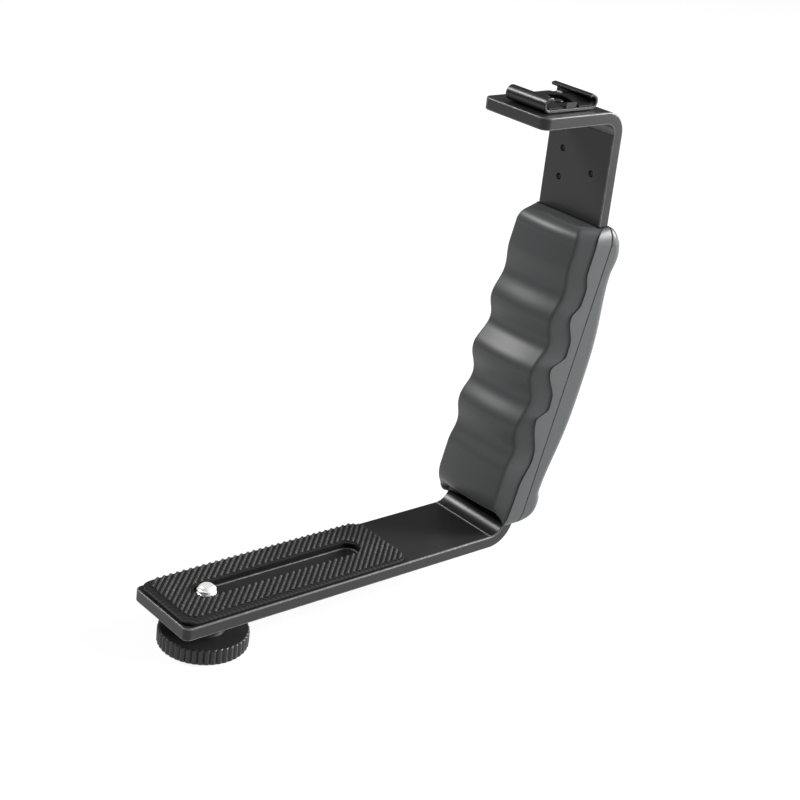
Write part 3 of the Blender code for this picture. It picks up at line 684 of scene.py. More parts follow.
@dataclass
class BentBar:
    """The flat bar: an arm, a leaning run, an upright stem and a top plate, bent from one length."""

    width: float = 0.030
    thick: float = 0.00425
    arm_length: float = 0.13105
    elbow_angle: float = math.radians(76)
    elbow_radius: float = 0.006
    lean_height: float = 0.1049
    lean_radius: float = 0.040
    top_radius: float = 0.004
    bend_step: float = 4.0
    least_steps: int = 4
    plate_length: float = 0.0377
    arm_corner: float = 0.0023
    plate_corner: float = 0.003
    corner_steps: int = 8
    edge: float = 0.00048
    slot_start: float = 0.0140
    slot_length: float = 0.0635
    slot_width: float = 0.0066
    slot_edge: float = 0.0003
    hole_radius: float = 0.00122
    hole_side: float = 0.0073
    hole_pitch: float = 0.0102
    hole_drop: float = 0.0238
    mark_radius: float = 0.0005
    mark_depth: float = 0.00016
    screw_hole: float = 0.0022
    rivet_hole: float = 0.0013
    narrow_share: float = 0.8
    # How much lighter the edges, the slot's rim and the holes' rims are: worn paint and a painted highlight.
    edge_rub_and_highlight: float = 0.8
    rim_rub_and_highlight: float = 1.0
    hole_rub_and_highlight: float = 0.35
    overrun: float = 0.002
    front: float = field(init=False)
    under: float = field(init=False)
    top: float = field(init=False)
    plate_top: float = field(init=False)
    stem: float = field(init=False)
    plate_end: float = field(init=False)

    def __post_init__(self) -> None:
        """Takes the bar's place from its solid."""
        low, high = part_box("bracket_bar")
        self.front, self.under, self.plate_top = low.x, low.z, high.z
        self.top = self.under + self.thick
        self.stem = high.x - self.thick
        self.plate_end = high.x - self.plate_length

    @property
    def slot_ends(self) -> Point:
        """Where the centres of the slot's round ends are, along X."""
        first = self.front + self.slot_start + self.slot_width / 2
        return first, first + self.slot_length - self.slot_width

    @property
    def small_holes(self) -> tuple[Point, ...]:
        """Where the three small holes are, across the bar and up it."""
        middle, half = self.plate_top - self.hole_drop, self.hole_pitch / 2
        return (self.hole_side, middle + half), (self.hole_side, middle - half), (-self.hole_side, middle)

    def slot_distance(self, spot: Vector) -> float:
        """How far a point of the arm is from the slot's middle line."""
        first, last = self.slot_ends
        return math.hypot(spot.x - max(first, min(last, spot.x)), spot.y)

    def hole_distance(self, spot: Vector) -> float:
        """How far a point of the stem is from the nearest small hole's axis."""
        return min(math.hypot(spot.y - side, spot.z - height) for side, height in self.small_holes)

    def face_x(self, height: float) -> float:
        """Where the bar's camera side is at a height above the arm's top face."""
        return self.stem - max(0.0, self.lean_height - height) / math.tan(self.elbow_angle)

    def rear_x(self, height: float) -> float:
        """Where the bar's rear face is at a height above the arm's top face."""
        leaning = height < self.lean_height
        return self.face_x(height) + (self.thick / math.sin(self.elbow_angle) if leaning else self.thick)

    def screw_frame(self, height: float) -> Matrix:
        """A frame on the leaning run's rear face, its Z square out of it."""
        place = Matrix.Translation((self.rear_x(height), 0, self.top + height))
        return place @ Matrix.Rotation(math.pi - self.elbow_angle, 4, "Y")

    def bends(self) -> list[tuple[float, float, float, float]]:
        """Works out the three bends.

        Returns:
            The run before each bend, and the bend's angle, inner radius and heading at its start.
        """
        runs = (self.arm_length, self.lean_height / math.sin(self.elbow_angle),
                self.plate_top - self.thick - self.top - self.lean_height)
        radii = (self.elbow_radius, self.lean_radius, self.top_radius)
        headings = (0.0, self.elbow_angle, QUARTER, math.pi)
        bends: list[tuple[float, float, float, float]] = []
        before = 0.0
        for run, radius, (start, end) in zip(runs, radii, pairwise(headings)):
            tangent = radius * math.tan((end - start) / 2)
            bends.append((run - before - tangent, end - start, radius, start))
            before = tangent
        return bends

    def strip(self) -> Object:
        """Bends the strip: its end face is pushed along each run and spun round each bend.

        Returns:
            The bar, with its four corners rounded.
        """
        centre = Vector((self.front, 0, self.top - self.thick / 2))
        bar = add("plane", "bent_bar", size=1, location=centre, rotation=(0, QUARTER, 0))
        with editing(bar):
            stretch((1, self.width, self.thick), centre)
            spot = Vector((self.front, self.top))
            for run, angle, radius, heading in self.bends():
                along = Vector((math.cos(heading), math.sin(heading)))
                step = along * run
                push(step.x, 0, step.y)
                spot += step
                hub = spot + Vector((-along.y, along.x)) * radius
                steps = max(self.least_steps, round(math.degrees(angle) / self.bend_step))
                bpy.ops.mesh.spin(steps=steps, angle=angle, center=(hub.x, 0, hub.y), axis=(0, 1, 0))
                after = heading + angle
                spot = hub + Vector((math.sin(after), -math.cos(after))) * radius
            push(self.plate_end - spot.x, 0, 0)
            face_out(merge=True)
            arm_end, plate_end = self.front + self.overrun, self.plate_end + self.overrun
            plate_low = self.plate_top - 2 * self.thick
            self.round_end(bar, self.arm_corner, lambda spot: spot.x < arm_end and spot.z < 0)
            self.round_end(bar, self.plate_corner, lambda spot: spot.x < plate_end and spot.z > plate_low)
        return bar

    def round_end(self, bar: Object, radius: float, near: Callable[[Vector], bool]) -> None:
        """Rounds the two upright corner edges of one end of the strip.

        Args:
            bar: the strip, in edit mode.
            radius: the corners' radius.
            near: says whether a point is at that end.
        """
        pick(bar, Part.EDGES, lambda edge: all(near(vert.co) for vert in edge.verts)
             and abs((edge.verts[0].co - edge.verts[1].co).normalized().z) > ALONG)
        bevel(radius, self.corner_steps)

    def slot_tool(self, width: float, low: float, high: float) -> Object:
        """A block with round ends that fills a slot along the arm.

        Args:
            width: the slot's width.
            low: its lower level.
            high: its upper level.

        Returns:
            The block.
        """
        first, last = self.slot_ends
        tool = add("circle", "slot_tool", vertices=64, radius=width / 2, fill_type="NGON",
                   location=(first, 0, low))
        with editing(tool):
            push(0, 0, high - low)
            pick(tool, Part.VERTS, lambda vert: vert.co.x > first - NEAR)
            shift(last - first, 0, 0)
            face_out()
        return tool

    def pierce(self, bar: Object, screws: Sequence[Matrix], rivets: Sequence[Matrix]) -> None:
        """Cuts the slot and every hole.

        Args:
            bar: the bent strip.
            screws: the frames of the grip's screws.
            rivets: the frames of the shoe's rivets.
        """
        over = self.overrun
        carve(bar, self.slot_tool(self.slot_width, self.under - over, self.top + over))
        across = Matrix.Rotation(QUARTER, 4, "Y")
        for side, height in self.small_holes:
            place = Matrix.Translation((self.stem + self.thick / 2, side, height)) @ across
            bore(bar, place, self.hole_radius, self.thick + 2 * over)
        for places, radius in ((screws, self.screw_hole), (rivets, self.rivet_hole)):
            for place in places:
                bore(bar, place, radius, 2 * (self.thick + over))

    def press_marks(self, bar: Object) -> None:
        """Presses the shallow line that the bending tool leaves inside the elbow and inside the top bend.

        Args:
            bar: the strip.
        """
        lift = self.mark_radius - self.mark_depth
        elbow = self.front + self.arm_length - self.elbow_radius * math.tan(self.elbow_angle / 2)
        top_bend = self.plate_top - self.thick - self.top_radius
        for x, z in ((elbow, self.top + lift), (self.stem - lift, top_bend)):
            place = Matrix.Translation((x, 0, z)) @ Matrix.Rotation(QUARTER, 4, "X")
            bore(bar, place, self.mark_radius, self.width + 2 * self.overrun, 24)

    def ease_rims(self, bar: Object) -> None:
        """Breaks the sharp rims of the slot and of the small holes.

        Args:
            bar: the pierced strip.
        """
        half, reach = self.thick / 2, self.slot_width / 2 + RIM

        def on_slot(spot: Vector) -> bool:
            """Whether a point is on the slot's rim."""
            return abs(abs(spot.z - self.top + half) - half) < NEAR and self.slot_distance(spot) < reach

        def on_hole(spot: Vector) -> bool:
            """Whether a point is on a small hole's rim."""
            return abs(self.hole_distance(spot) - self.hole_radius) < RIM

        with editing(bar, Part.EDGES):
            for on_rim, width in ((on_slot, self.slot_edge), (on_hole, self.slot_edge / 2)):
                pick(bar, Part.EDGES, lambda edge: edge.calc_face_angle(0.0) > SHARP
                     and all(on_rim(vert.co) for vert in edge.verts))
                bevel(width, 2)

    def mark_edges(self, bar: Object) -> None:
        """Marks how much lighter the paint is on the narrow faces along edges and rims: worn paint and a
        painted highlight.

        Args:
            bar: the finished bar.
        """
        marks = bar.data.attributes.new("edge", "FLOAT", "FACE")
        points = bar.data.vertices
        for face, mark in zip(bar.data.polygons, marks.data):
            longest = max((points[a].co - points[b].co).length for a, b in face.edge_keys)
            if face.area / longest >= self.edge * self.narrow_share:
                continue
            if self.slot_distance(face.center) < self.slot_width / 2 + 2 * self.slot_edge:
                mark.value = self.rim_rub_and_highlight
            else:
                at_hole = self.hole_distance(face.center) < 2 * self.hole_radius
                mark.value = self.hole_rub_and_highlight if at_hole else self.edge_rub_and_highlight

    def build(self, screws: Sequence[Matrix], rivets: Sequence[Matrix]) -> None:
        """Builds the bar and hands it over, with painted shade on the walls of its small holes and its slot.

        Args:
            screws: the frames of the grip's screws.
            rivets: the frames of the shoe's rivets.
        """
        bar = self.strip()
        round_edges(bar, self.edge, 3, 50)
        self.press_marks(bar)
        self.pierce(bar, screws, rivets)
        self.ease_rims(bar)
        self.mark_edges(bar)
        hand_over(bar, 30, FINISHES.paint, Body.BRACKET, "bracket_bar")
        # The small holes' walls are darkened as painted shade.
        paint_wall_shade(bar, FINISHES.inside, lambda face: abs(face.normal.x) < WALL
                   and self.hole_distance(face.center) < self.hole_radius + NEAR)
        # The slot's walls are darkened as painted shade.
        paint_wall_shade(bar, FINISHES.slot, lambda face: abs(face.normal.z) < WALL and face.center.z < self.top
                   and self.slot_distance(face.center) < self.slot_width / 2 + NEAR)


@dataclass
class RibbedPad:
    """The rubber pad: a sheet with a sloping border, and slanting ribs with notched crests."""

    bar: BentBar
    corner: float = 0.0045
    corner_steps: int = 12
    slope: float = 0.0007
    slope_drop: float = 0.8
    rib_height: float = 0.00052
    rib_pitch: float = 0.0017
    rib_base: float = 0.00132
    rib_crest_share: float = 0.26
    rib_angle: float = math.radians(43)
    notch_pitch: float = 0.00125
    notch_depth: float = 0.00030
    border: float = 0.0007
    front_border: float = 0.0024
    near_border: float = 0.0022
    undercut: float = 0.00035
    undercut_inset: float = 0.0009
    slot_margin: float = 0.0007
    slot_border: float = 0.0013
    sink: float = 0.00012
    near: Vector = field(init=False)
    far: Vector = field(init=False)

    def __post_init__(self) -> None:
        """Takes the pad's place from its solid."""
        self.near, self.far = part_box("camera_pad")

    def plate(self, name: str, inset: float, low: float, high: float) -> Object:
        """A block with the pad's outline, or one inset from it.

        Args:
            name: the new object's name.
            inset: how far it is inside the pad's outline.
            low: its underside.
            high: its top.

        Returns:
            The block.
        """
        middle = Vector(((self.near.x + self.far.x) / 2, 0, low))
        size = self.far - self.near
        block = add("plane", name, size=1, location=middle)
        with editing(block):
            stretch((size.x - 2 * inset, size.y - 2 * inset, 1), middle)
            pick(block, Part.VERTS, lambda vert: True)
            bevel(self.corner - inset, self.corner_steps, "VERTICES")
            bpy.ops.mesh.select_all(action="SELECT")
            push(0, 0, high - low)
            face_out()
        return block

    def inside(self, spot: Vector) -> bool:
        """Tells whether a point is inside the pad's outline by more than half its slope.

        Args:
            spot: the point.

        Returns:
            Whether it is inside.
        """
        x = max(self.near.x + self.corner, min(self.far.x - self.corner, spot.x))
        y = max(self.near.y + self.corner, min(self.far.y - self.corner, spot.y))
        return math.hypot(spot.x - x, spot.y - y) < self.corner - self.slope / 2

    def sheet(self, valley: float) -> Object:
        """Models the sheet under the ribs, with its sloping border and the undercut below.

        Args:
            valley: its top.

        Returns:
            The sheet.
        """
        sheet = self.plate("ribbed_pad", 0.0, self.near.z + self.undercut, valley)
        with editing(sheet):
            pick(sheet, Part.FACES, lambda face: face.normal.z > ALONG)
            bpy.ops.mesh.inset(thickness=self.slope, depth=0)
            pick(sheet, Part.FACES, lambda face: face.normal.z < -ALONG)
            bpy.ops.mesh.inset(thickness=self.undercut_inset, depth=0)
            push(0, 0, -self.undercut)
            low = valley - self.slope
            pick(sheet, Part.VERTS, lambda vert: vert.co.z > low and not self.inside(vert.co))
            shift(0, 0, -self.slope * self.slope_drop)
        return sheet

    def rib(self, length: float, low: float, high: float) -> Object:
        """Models one rib along X: a bar drawn in towards its crest, with a row of notches in the crest.

        Args:
            length: its length.
            low: its underside.
            high: its crest.

        Returns:
            The rib, at the middle of the arm.
        """
        middle = Vector((0, 0, (low + high) / 2))
        rib = add("cube", "rib", size=1, location=middle)
        steps = 3 * round(length / self.notch_pitch)
        crest = middle.z + (high - low) / 4
        with editing(rib):
            stretch((length, self.rib_base, high - low), middle)
            pick(rib, Part.EDGES, lambda edge: abs(edge.verts[0].co.x - edge.verts[1].co.x) > length / 2)
            bpy.ops.mesh.subdivide(number_cuts=steps - 1)
            pick(rib, Part.VERTS, lambda vert: vert.co.z > crest)
            stretch((1, self.rib_crest_share, 1), Vector((0, 0, high)))
            pick(rib, Part.VERTS, lambda vert: vert.co.z > crest
                 and round((vert.co.x + length / 2) / (length / steps)) % 3 == 0)
            shift(0, 0, -self.notch_depth)
        return rib

    def ribs(self, valley: float) -> Object:
        """Lays copies of the rib side by side over the whole pad.

        Args:
            valley: the sheet's top, in which the ribs are sunk a little.

        Returns:
            The ribs, as one object.
        """
        size = self.far - self.near
        rib = self.rib(size.y / math.sin(self.rib_angle) + 2 * self.rib_pitch, valley - self.sink, 0.0)
        step = self.rib_pitch / math.sin(self.rib_angle)
        reach = size.y / 2 / math.tan(self.rib_angle) + step
        turn = Matrix.Rotation(self.rib_angle, 4, "Z")
        copies = []
        for number in range(math.ceil((size.x + 2 * reach) / step)):
            copy = rib.copy()
            copy.data = rib.data.copy()
            copy.data.transform(Matrix.Translation((self.near.x - reach + step * number, 0, 0)) @ turn)
            bpy.context.collection.objects.link(copy)
            copies.append(copy)
        bpy.data.objects.remove(rib)
        isolate(*copies)
        bpy.ops.object.join()
        return copies[0]

    def rib_field(self, slot_width: float) -> Object:
        """A block over the part of the pad that has ribs, with plain borders round it.

        Args:
            slot_width: the width of the pad's slot.

        Returns:
            The block.
        """
        over = self.bar.overrun
        block = self.plate("rib_field", self.border, self.near.z, self.far.z + over)
        middle = (self.near.x + self.far.x) / 2
        with editing(block):
            pick(block, Part.VERTS, lambda vert: vert.co.x < middle)
            shift(self.front_border - self.border, 0, 0)
            pick(block, Part.VERTS, lambda vert: vert.co.x < middle and vert.co.y < 0)
            shift(0, self.near_border - self.border, 0)
        clear = self.bar.slot_tool(slot_width + self.slot_border, self.near.z - over, self.far.z + 2 * over)
        clear.data.transform(Matrix.Translation((0, self.slot_border / 2, 0)))
        carve(block, clear)
        return block

    def build(self) -> None:
        """Builds the sheet and its ribs as one pad and hands it over, with painted shade on the walls of its
        slot.
        """
        valley, over = self.far.z - self.rib_height, self.bar.overrun
        slot_width = self.bar.slot_width + 2 * self.slot_margin
        pad = self.sheet(valley)
        carve(pad, self.bar.slot_tool(slot_width, self.near.z - over, self.far.z + over))
        ribs = self.ribs(valley)
        carve(ribs, self.rib_field(slot_width), "INTERSECT")
        isolate(pad, ribs)
        bpy.ops.object.join()
        hand_over(pad, 40, FINISHES.rubber, Body.BRACKET, "camera_pad")
        # The pad's slot walls are darkened as painted shade.
        paint_wall_shade(pad, FINISHES.inside, lambda face: abs(face.normal.z) < WALL
                   and self.bar.slot_distance(face.center) < slot_width / 2 + NEAR)


# What moves in the slot


@dataclass
class CameraScrew:
    """The quarter inch screw with its thread and its hex head."""

    radius: float = 0.003175
    pitch: float = 0.00127
    thread_depth: float = 0.00062
    crest_share: float = 0.12
    flank_share: float = 0.72
    chamfer: float = 0.0011
    chamfer_slope: float = 1.15
    tip_share: float = 0.985
    head_flats: float = 0.0111
    head_height: float = 0.0040
    head_edge: float = 0.0003
    ring_share: float = 0.125
    sides: int = 48

    def thread(self, turn: float, height: float) -> float:
        """The thread's radius at a turn, as a share of a full one, and a height."""
        flank = abs(2 * ((height / self.pitch - turn) % 1.0) - 1) - self.crest_share
        return self.radius - self.thread_depth * min(1.0, max(0.0, flank / self.flank_share))

    def build(self) -> None:
        """Builds the screw and hands it over."""
        axis_x, low, high = stand("camera_screw")
        foot = low.z + self.head_height / 2
        count = math.ceil((high.z - foot) / (self.pitch * self.ring_share))
        turns = [index / self.sides for index in range(self.sides)]
        rings = []
        for number in range(count + 1):
            height = foot + (high.z - foot) * number / count
            limit = self.radius - max(0.0, self.chamfer - (high.z - height)) * self.chamfer_slope
            rings.append([polar(min(limit, self.thread(turn, height)), TURN * turn, height, axis_x)
                          for turn in turns])
        tip = Vector((axis_x, 0, high.z))
        rings.append([tip + (point - tip) * self.tip_share for point in rings[-1]])
        screw = raise_rings("threaded_screw", rings)
        head = add("cylinder", "hex_head", vertices=6, radius=hex_corner(self.head_flats),
                   depth=self.head_height, location=(axis_x, 0, foot), rotation=(0, 0, HEX_TURN))
        round_edges(head, self.head_edge, 3, 40)
        carve(screw, head, "UNION")
        plate = replace(FINISHES.plate, axis_x=axis_x)
        hand_over(screw, 38, plate, Body.SCREW, "camera_screw")


@dataclass
class ThumbKnob:
    """The knob: a low drum with rounded ribs round its rim, a collar on top and a hex pocket below."""

    radius: float = 0.01475
    rib_count: int = 44
    rib_depth: float = 0.00062
    points_per_rib: int = 8
    edge: float = 0.0007
    edge_steps: int = 4
    collar_radius: float = 0.0065
    collar_edge: float = 0.0003
    collar_height: float = 0.0024
    fillet: float = 0.0005
    dish: float = 0.0004
    dish_radius: float = 0.0121
    bore_radius: float = 0.0034
    pocket_flats: float = 0.0115
    pocket_depth: float = 0.0046

    def rim_rings(self, bottom: float, top: float) -> list[Triple]:
        """Works out the rings, from the dished underside to the collar's top.

        Args:
            bottom: the drum's underside.
            top: the drum's top.

        Returns:
            Each ring's radius, height and share of the ribs.
        """
        straight, edge = self.radius - self.edge, self.edge
        rim = arc((straight, bottom + edge), edge, -QUARTER, 0, self.edge_steps)
        rim += arc((straight, top - edge), edge, 0, QUARTER, self.edge_steps)
        collar, crown = self.collar_radius, top + self.collar_height
        return [
            (self.dish_radius - self.dish, bottom + self.dish, 0.0), (self.dish_radius, bottom, 0.0),
            *((radius, height, (radius - straight) / edge) for radius, height in rim),
            (collar + self.fillet, top, 0.0), (collar, top + self.fillet, 0.0),
            (collar, crown - self.collar_edge, 0.0), (collar - self.collar_edge, crown, 0.0),
        ]

    def build(self) -> None:
        """Builds the knob and hands it over."""
        axis_x, low, high = stand("thumb_knob")
        count = self.rib_count * self.points_per_rib
        rings = []
        for radius, height, share in self.rim_rings(low.z, high.z - self.collar_height):
            ring = []
            for turn in (TURN * index / count for index in range(count)):
                dip = self.rib_depth * share * (1 - abs(math.sin(turn * self.rib_count / 2)))
                ring.append(polar(radius - dip, turn, height, axis_x))
            rings.append(ring)
        knob = raise_rings("fluted_knob", rings)
        foot = Matrix.Translation((axis_x, 0, low.z))
        hexagon = foot @ Matrix.Rotation(HEX_TURN, 4, "Z")
        bore(knob, hexagon, hex_corner(self.pocket_flats), 2 * self.pocket_depth, 6)
        bore(knob, foot, self.bore_radius, 6 * self.pocket_depth, 48)
        hand_over(knob, 30, FINISHES.knob, Body.SCREW, "thumb_knob")


@dataclass
class NylonRings:
    """The washer on the knob's collar and the retaining ring in the pad's slot."""

    inner: float = 0.0034
    edge: float = 0.00018
    edge_steps: int = 3

    def section(self, outer: float, thick: float) -> list[Point]:
        """The section of a flat ring with rounded edges, its underside at height 0.

        Args:
            outer: the ring's outer radius.
            thick: its thickness.

        Returns:
            The section's points, as (radius, height) pairs.
        """
        inside, outside, top = self.inner + self.edge, outer - self.edge, thick - self.edge
        corners = ((outside, self.edge), (outside, top), (inside, top), (inside, self.edge))
        points: list[Point] = []
        for number, centre in enumerate(corners):
            points += arc(centre, self.edge, (number - 1) * QUARTER, number * QUARTER, self.edge_steps)
        return points

    def build(self) -> None:
        """Builds both rings and hands them over."""
        for name, node, body in (("collar_washer", "knob_washer", Body.WASHER),
                                 ("retaining_ring", "slot_retainer", Body.RING)):
            axis_x, low, high = stand(node)
            section = self.section((high.x - low.x) / 2, high.z - low.z)
            ring = turned(name, section, Matrix.Translation((axis_x, 0, low.z)), hollow=True)
            hand_over(ring, 50, FINISHES.nylon, body, node)


# The moulded grip


@dataclass
class MouldedGrip:
    """The grip: a front half with finger ridges, closed over the bar by a rear half, and two screws."""

    bar: BentBar
    width: float = 0.036
    bottom: float = 0.0033
    top: float = 0.1105
    corner: float = 0.0050
    corner_share: float = 0.8
    finger_reach: float = 0.0117
    brow_fill: float = 0.0013
    palm_reach: float = 0.01185
    palm_power: float = 1.5
    finger_top_radius: float = 0.0060
    finger_foot: float = 0.0040
    finger_foot_height: float = 0.0090
    foot_power: float = 2.2
    palm_top_height: float = 0.0110
    palm_top_power: float = 1.55
    palm_foot_height: float = 0.0050
    palm_foot_power: float = 2.6
    side_round_height: float = 0.0062
    side_round_depth: float = 0.0030
    channel_gap: float = 0.0001
    channel_flare: float = 0.0004
    channel_steps: int = 4
    parting_edge: float = 0.0003
    parting_share: float = 0.2
    parting_gap: float = 0.00012
    parting_steps: int = 3
    least_wall: float = 0.0005
    crease_reach: float = 0.0058
    crease_least: float = -0.0028
    crease_top: float = 0.0060
    crease_foot: float = 0.0022
    crease_step: float = 0.00042
    crease_edge: float = 0.00022
    edge_middle: float = 0.3
    crease_angle: float = math.radians(24)
    brow: float = 0.0041
    brow_rise: float = 0.0028
    brow_lead: float = 0.55
    brow_hold: float = 0.68
    crown_radius: float = 0.10
    ring_count: int = 250
    end_spread: float = 0.6
    corner_steps: int = 12
    face_steps: int = 12
    finger_shares: tuple[Point, ...] = (
        (0.0, 0.75), (0.20, 0.75), (0.263, 0.63), (0.352, 0.87), (0.431, 0.63), (0.537, 1.0),
        (0.622, 0.65), (0.707, 0.915), (0.790, 0.71), (0.883, 0.865), (1.0, 0.865),
    )
    crease_shares: tuple[Point, ...] = (
        (0.0, 0.45), (0.147, 0.38), (0.238, -0.03), (0.378, 0.80), (0.408, -0.01), (0.435, 0.03),
        (0.548, 1.0), (0.584, 0.0), (0.615, 0.02), (0.716, 0.71), (0.757, 0.19), (0.795, 0.17),
        (0.865, 0.55), (1.0, 0.55),
    )
    palm_shares: tuple[Point, ...] = (
        (0.0, 0.79), (0.058, 0.79), (0.103, 0.68), (0.457, 1.0), (0.841, 0.64), (0.898, 0.715), (1.0, 0.715),
    )
    screw_shares: Point = (0.175, 0.815)
    screw_web: float = 0.0032
    screw_radius: float = 0.0019
    screw_bite: float = 0.0050
    point_radius: float = 0.0004
    point_taper: float = 0.7
    point_length: float = 0.002
    head_radius: float = 0.0037
    head_height: float = 0.0024
    head_rim: float = 0.0001
    head_dome: float = 0.0009
    dome_curve: float = 3.0
    dome_turn: Point = (0.55, QUARTER - 0.05)
    recess: Triple = (0.0009, 0.0042, 0.0028)
    recess_taper: Triple = (0.5, 0.42, 1)
    well_clearance: float = 0.0003

    @staticmethod
    def eased(stations: Sequence[Point], share: float, power: float = 1.0) -> float:
        """A value between stations that are crests, valleys or level runs, and leaves each of them level.

        Args:
            stations: (place, value) pairs.
            share: the place to read.
            power: below one a crest is narrow, above one it is broad.

        Returns:
            The value there.
        """
        for (low, low_value), (high, high_value) in pairwise(stations):
            if share <= high:
                along = (share - low) / (high - low)
                crest, valley, fall = high_value, low_value, 1 - along
                if low_value > high_value:
                    crest, valley, fall = low_value, high_value, along
                return crest + (valley - crest) * (1 - math.cos(math.pi * max(0.0, fall) ** power)) / 2
        return stations[-1][1]

    @staticmethod
    def end_round(distance: float, height: float, power: float = 2.0) -> float:
        """How much of a reach is left near an end that is rounded over a height.

        Args:
            distance: how far away the end is.
            height: the height of the rounding.
            power: two is a quarter circle, above two it is squarer.

        Returns:
            The share that is left, from 0 to 1.
        """
        left = 1 - min(1.0, max(0.0, distance) / height)
        return (1 - left ** power) ** (1 / power)

    def share(self, height: float) -> float:
        """How far up the grip a height above the arm is, from 0 to 1."""
        return (height - self.bottom) / (self.top - self.bottom)

    def finger(self, height: float) -> float:
        """How far the front stands off the bar.

        Args:
            height: the height above the arm.

        Returns:
            The reach there.
        """
        foot = height - self.bottom - self.finger_foot
        reach = self.finger_reach * self.eased(self.finger_shares, self.share(height))
        reach *= self.end_round(foot, self.finger_foot_height, self.foot_power)
        reach += self.brow_fill
        radius = self.finger_top_radius
        return reach - radius * (1 - self.end_round(self.top - height, radius))

    def crease(self, height: float) -> float:
        """How far in front of the bar the flat side ends.

        Args:
            height: the height above the arm.

        Returns:
            The reach there.
        """
        reach = self.crease_reach * self.eased(self.crease_shares, self.share(height))
        reach -= self.crease_top * (1 - self.end_round(self.top - height, self.crease_top))
        reach -= self.crease_foot * (1 - self.end_round(height - self.bottom, self.crease_foot))
        return max(self.crease_least, reach)

    def palm(self, height: float) -> float:
        """How far the rear stands off the bar.

        Args:
            height: the height above the arm.

        Returns:
            The reach there.
        """
        reach = self.palm_reach * self.eased(self.palm_shares, self.share(height), self.palm_power)
        reach *= self.end_round(self.top - height, self.palm_top_height, self.palm_top_power)
        return reach * self.end_round(height - self.bottom, self.palm_foot_height, self.palm_foot_power)

    def half_width(self, height: float) -> float:
        """Half the grip's width at a height above the arm."""
        end = min(self.top - height, height - self.bottom)
        return self.width / 2 - self.side_round_depth * (1 - self.end_round(end, self.side_round_height))

    def heights(self) -> list[float]:
        """Spaces the rings, closer together towards both ends.

        Returns:
            Their heights above the arm.
        """
        span, spread = self.top - self.bottom, self.end_spread
        shares = [index / (self.ring_count - 1) for index in range(self.ring_count)]
        return [self.bottom + span * (share - math.sin(TURN * share) / TURN * spread) for share in shares]

    def brow_points(self, front: float, crease: float, half: float) -> list[Point]:
        """The near front corner of one ring: over the crease's edge, down its step and round to the front.

        Args:
            front: where the front is, along X.
            crease: where the flat side ends, along X.
            half: half the grip's width there.

        Returns:
            The points, from the side to the front.
        """
        edge, near = self.crease_edge, self.edge_middle * self.crease_edge
        points = [(crease + edge, -half), (crease + near, -half + near), (crease, -half + edge)]
        foot = -half + self.crease_step
        rise = min((crease - front) * math.tan(self.crease_angle), self.brow_rise)
        reach = (front - crease) * self.brow_lead
        end = -half + self.brow
        slope = end / self.crown_radius
        start = front + end * slope / 2
        corner, hold = foot + rise, -half + self.brow * self.brow_hold
        hull = ((crease, foot), (crease + reach, foot + rise * self.brow_lead),
                (start + (corner - end) * slope, corner), (start + (hold - end) * slope, hold), (start, end))
        last = len(hull) - 1
        for along in (step / self.corner_steps for step in range(self.corner_steps + 1)):
            weights = [math.comb(last, index) * (1 - along) ** (last - index) * along ** index
                       for index in range(last + 1)]
            points.append(tuple(sum(weight * spot[axis] for weight, spot in zip(weights, hull))
                                for axis in (0, 1)))
        return points

    def both_sides(self, side: Sequence[Triple], face: Sequence[Triple]) -> Ring:
        """A run of points on the near side, across the middle and back along the far side, at its place."""
        points = [*side, *face, *((x, -y, z) for x, y, z in reversed(side))]
        return [Vector((x, y, self.bar.top + z)) for x, y, z in points]

    def finger_ring(self, height: float) -> Ring:
        """One ring of the front half: round its outside, then back along the channel for the bar.

        Args:
            height: the ring's height above the arm's top face.

        Returns:
            The ring, whose front part rises towards the foot, where the front half ends higher.
        """
        bar, edge, steps = self.bar, self.parting_edge, self.face_steps
        above_foot = (height - self.bottom) / (self.finger_foot_height + self.finger_foot)
        lift = self.finger_foot * max(0.0, 1 - above_foot) ** 2
        raised = height + lift
        half = self.half_width(height)
        parting = bar.rear_x(height)
        front = bar.face_x(raised) - max(self.least_wall, self.finger(raised))
        crease = bar.face_x(height) - self.crease(height)
        corner = arc((parting - edge, -half + edge), edge, 0, -QUARTER, self.parting_steps)
        side = [(x, y, height) for x, y in [*corner, ((parting + crease) / 2, -half)]]
        brow = self.brow_points(min(front, crease - self.least_wall), crease, half)
        side += [(x, y, height + lift * index / (len(brow) - 1)) for index, (x, y) in enumerate(brow)]
        last_x, last_y = brow[-1]
        across = [last_y * (1 - 2 * index / steps) for index in range(1, steps)]
        face = [(last_x - (last_y ** 2 - y ** 2) / (2 * self.crown_radius), y, raised) for y in across]
        gap = self.channel_gap + max(0.0, self.channel_flare - (self.top - height))
        wall, seat = bar.width / 2 + gap, bar.face_x(height) - gap
        inner = [(x, wall, height) for x in (parting, (parting + seat) / 2, seat)]
        floor = [(bar.face_x(raised) - gap, wall * (1 - 2 * index / self.channel_steps), raised)
                 for index in range(1, self.channel_steps)]
        return self.both_sides(side, face) + self.both_sides(inner, floor)

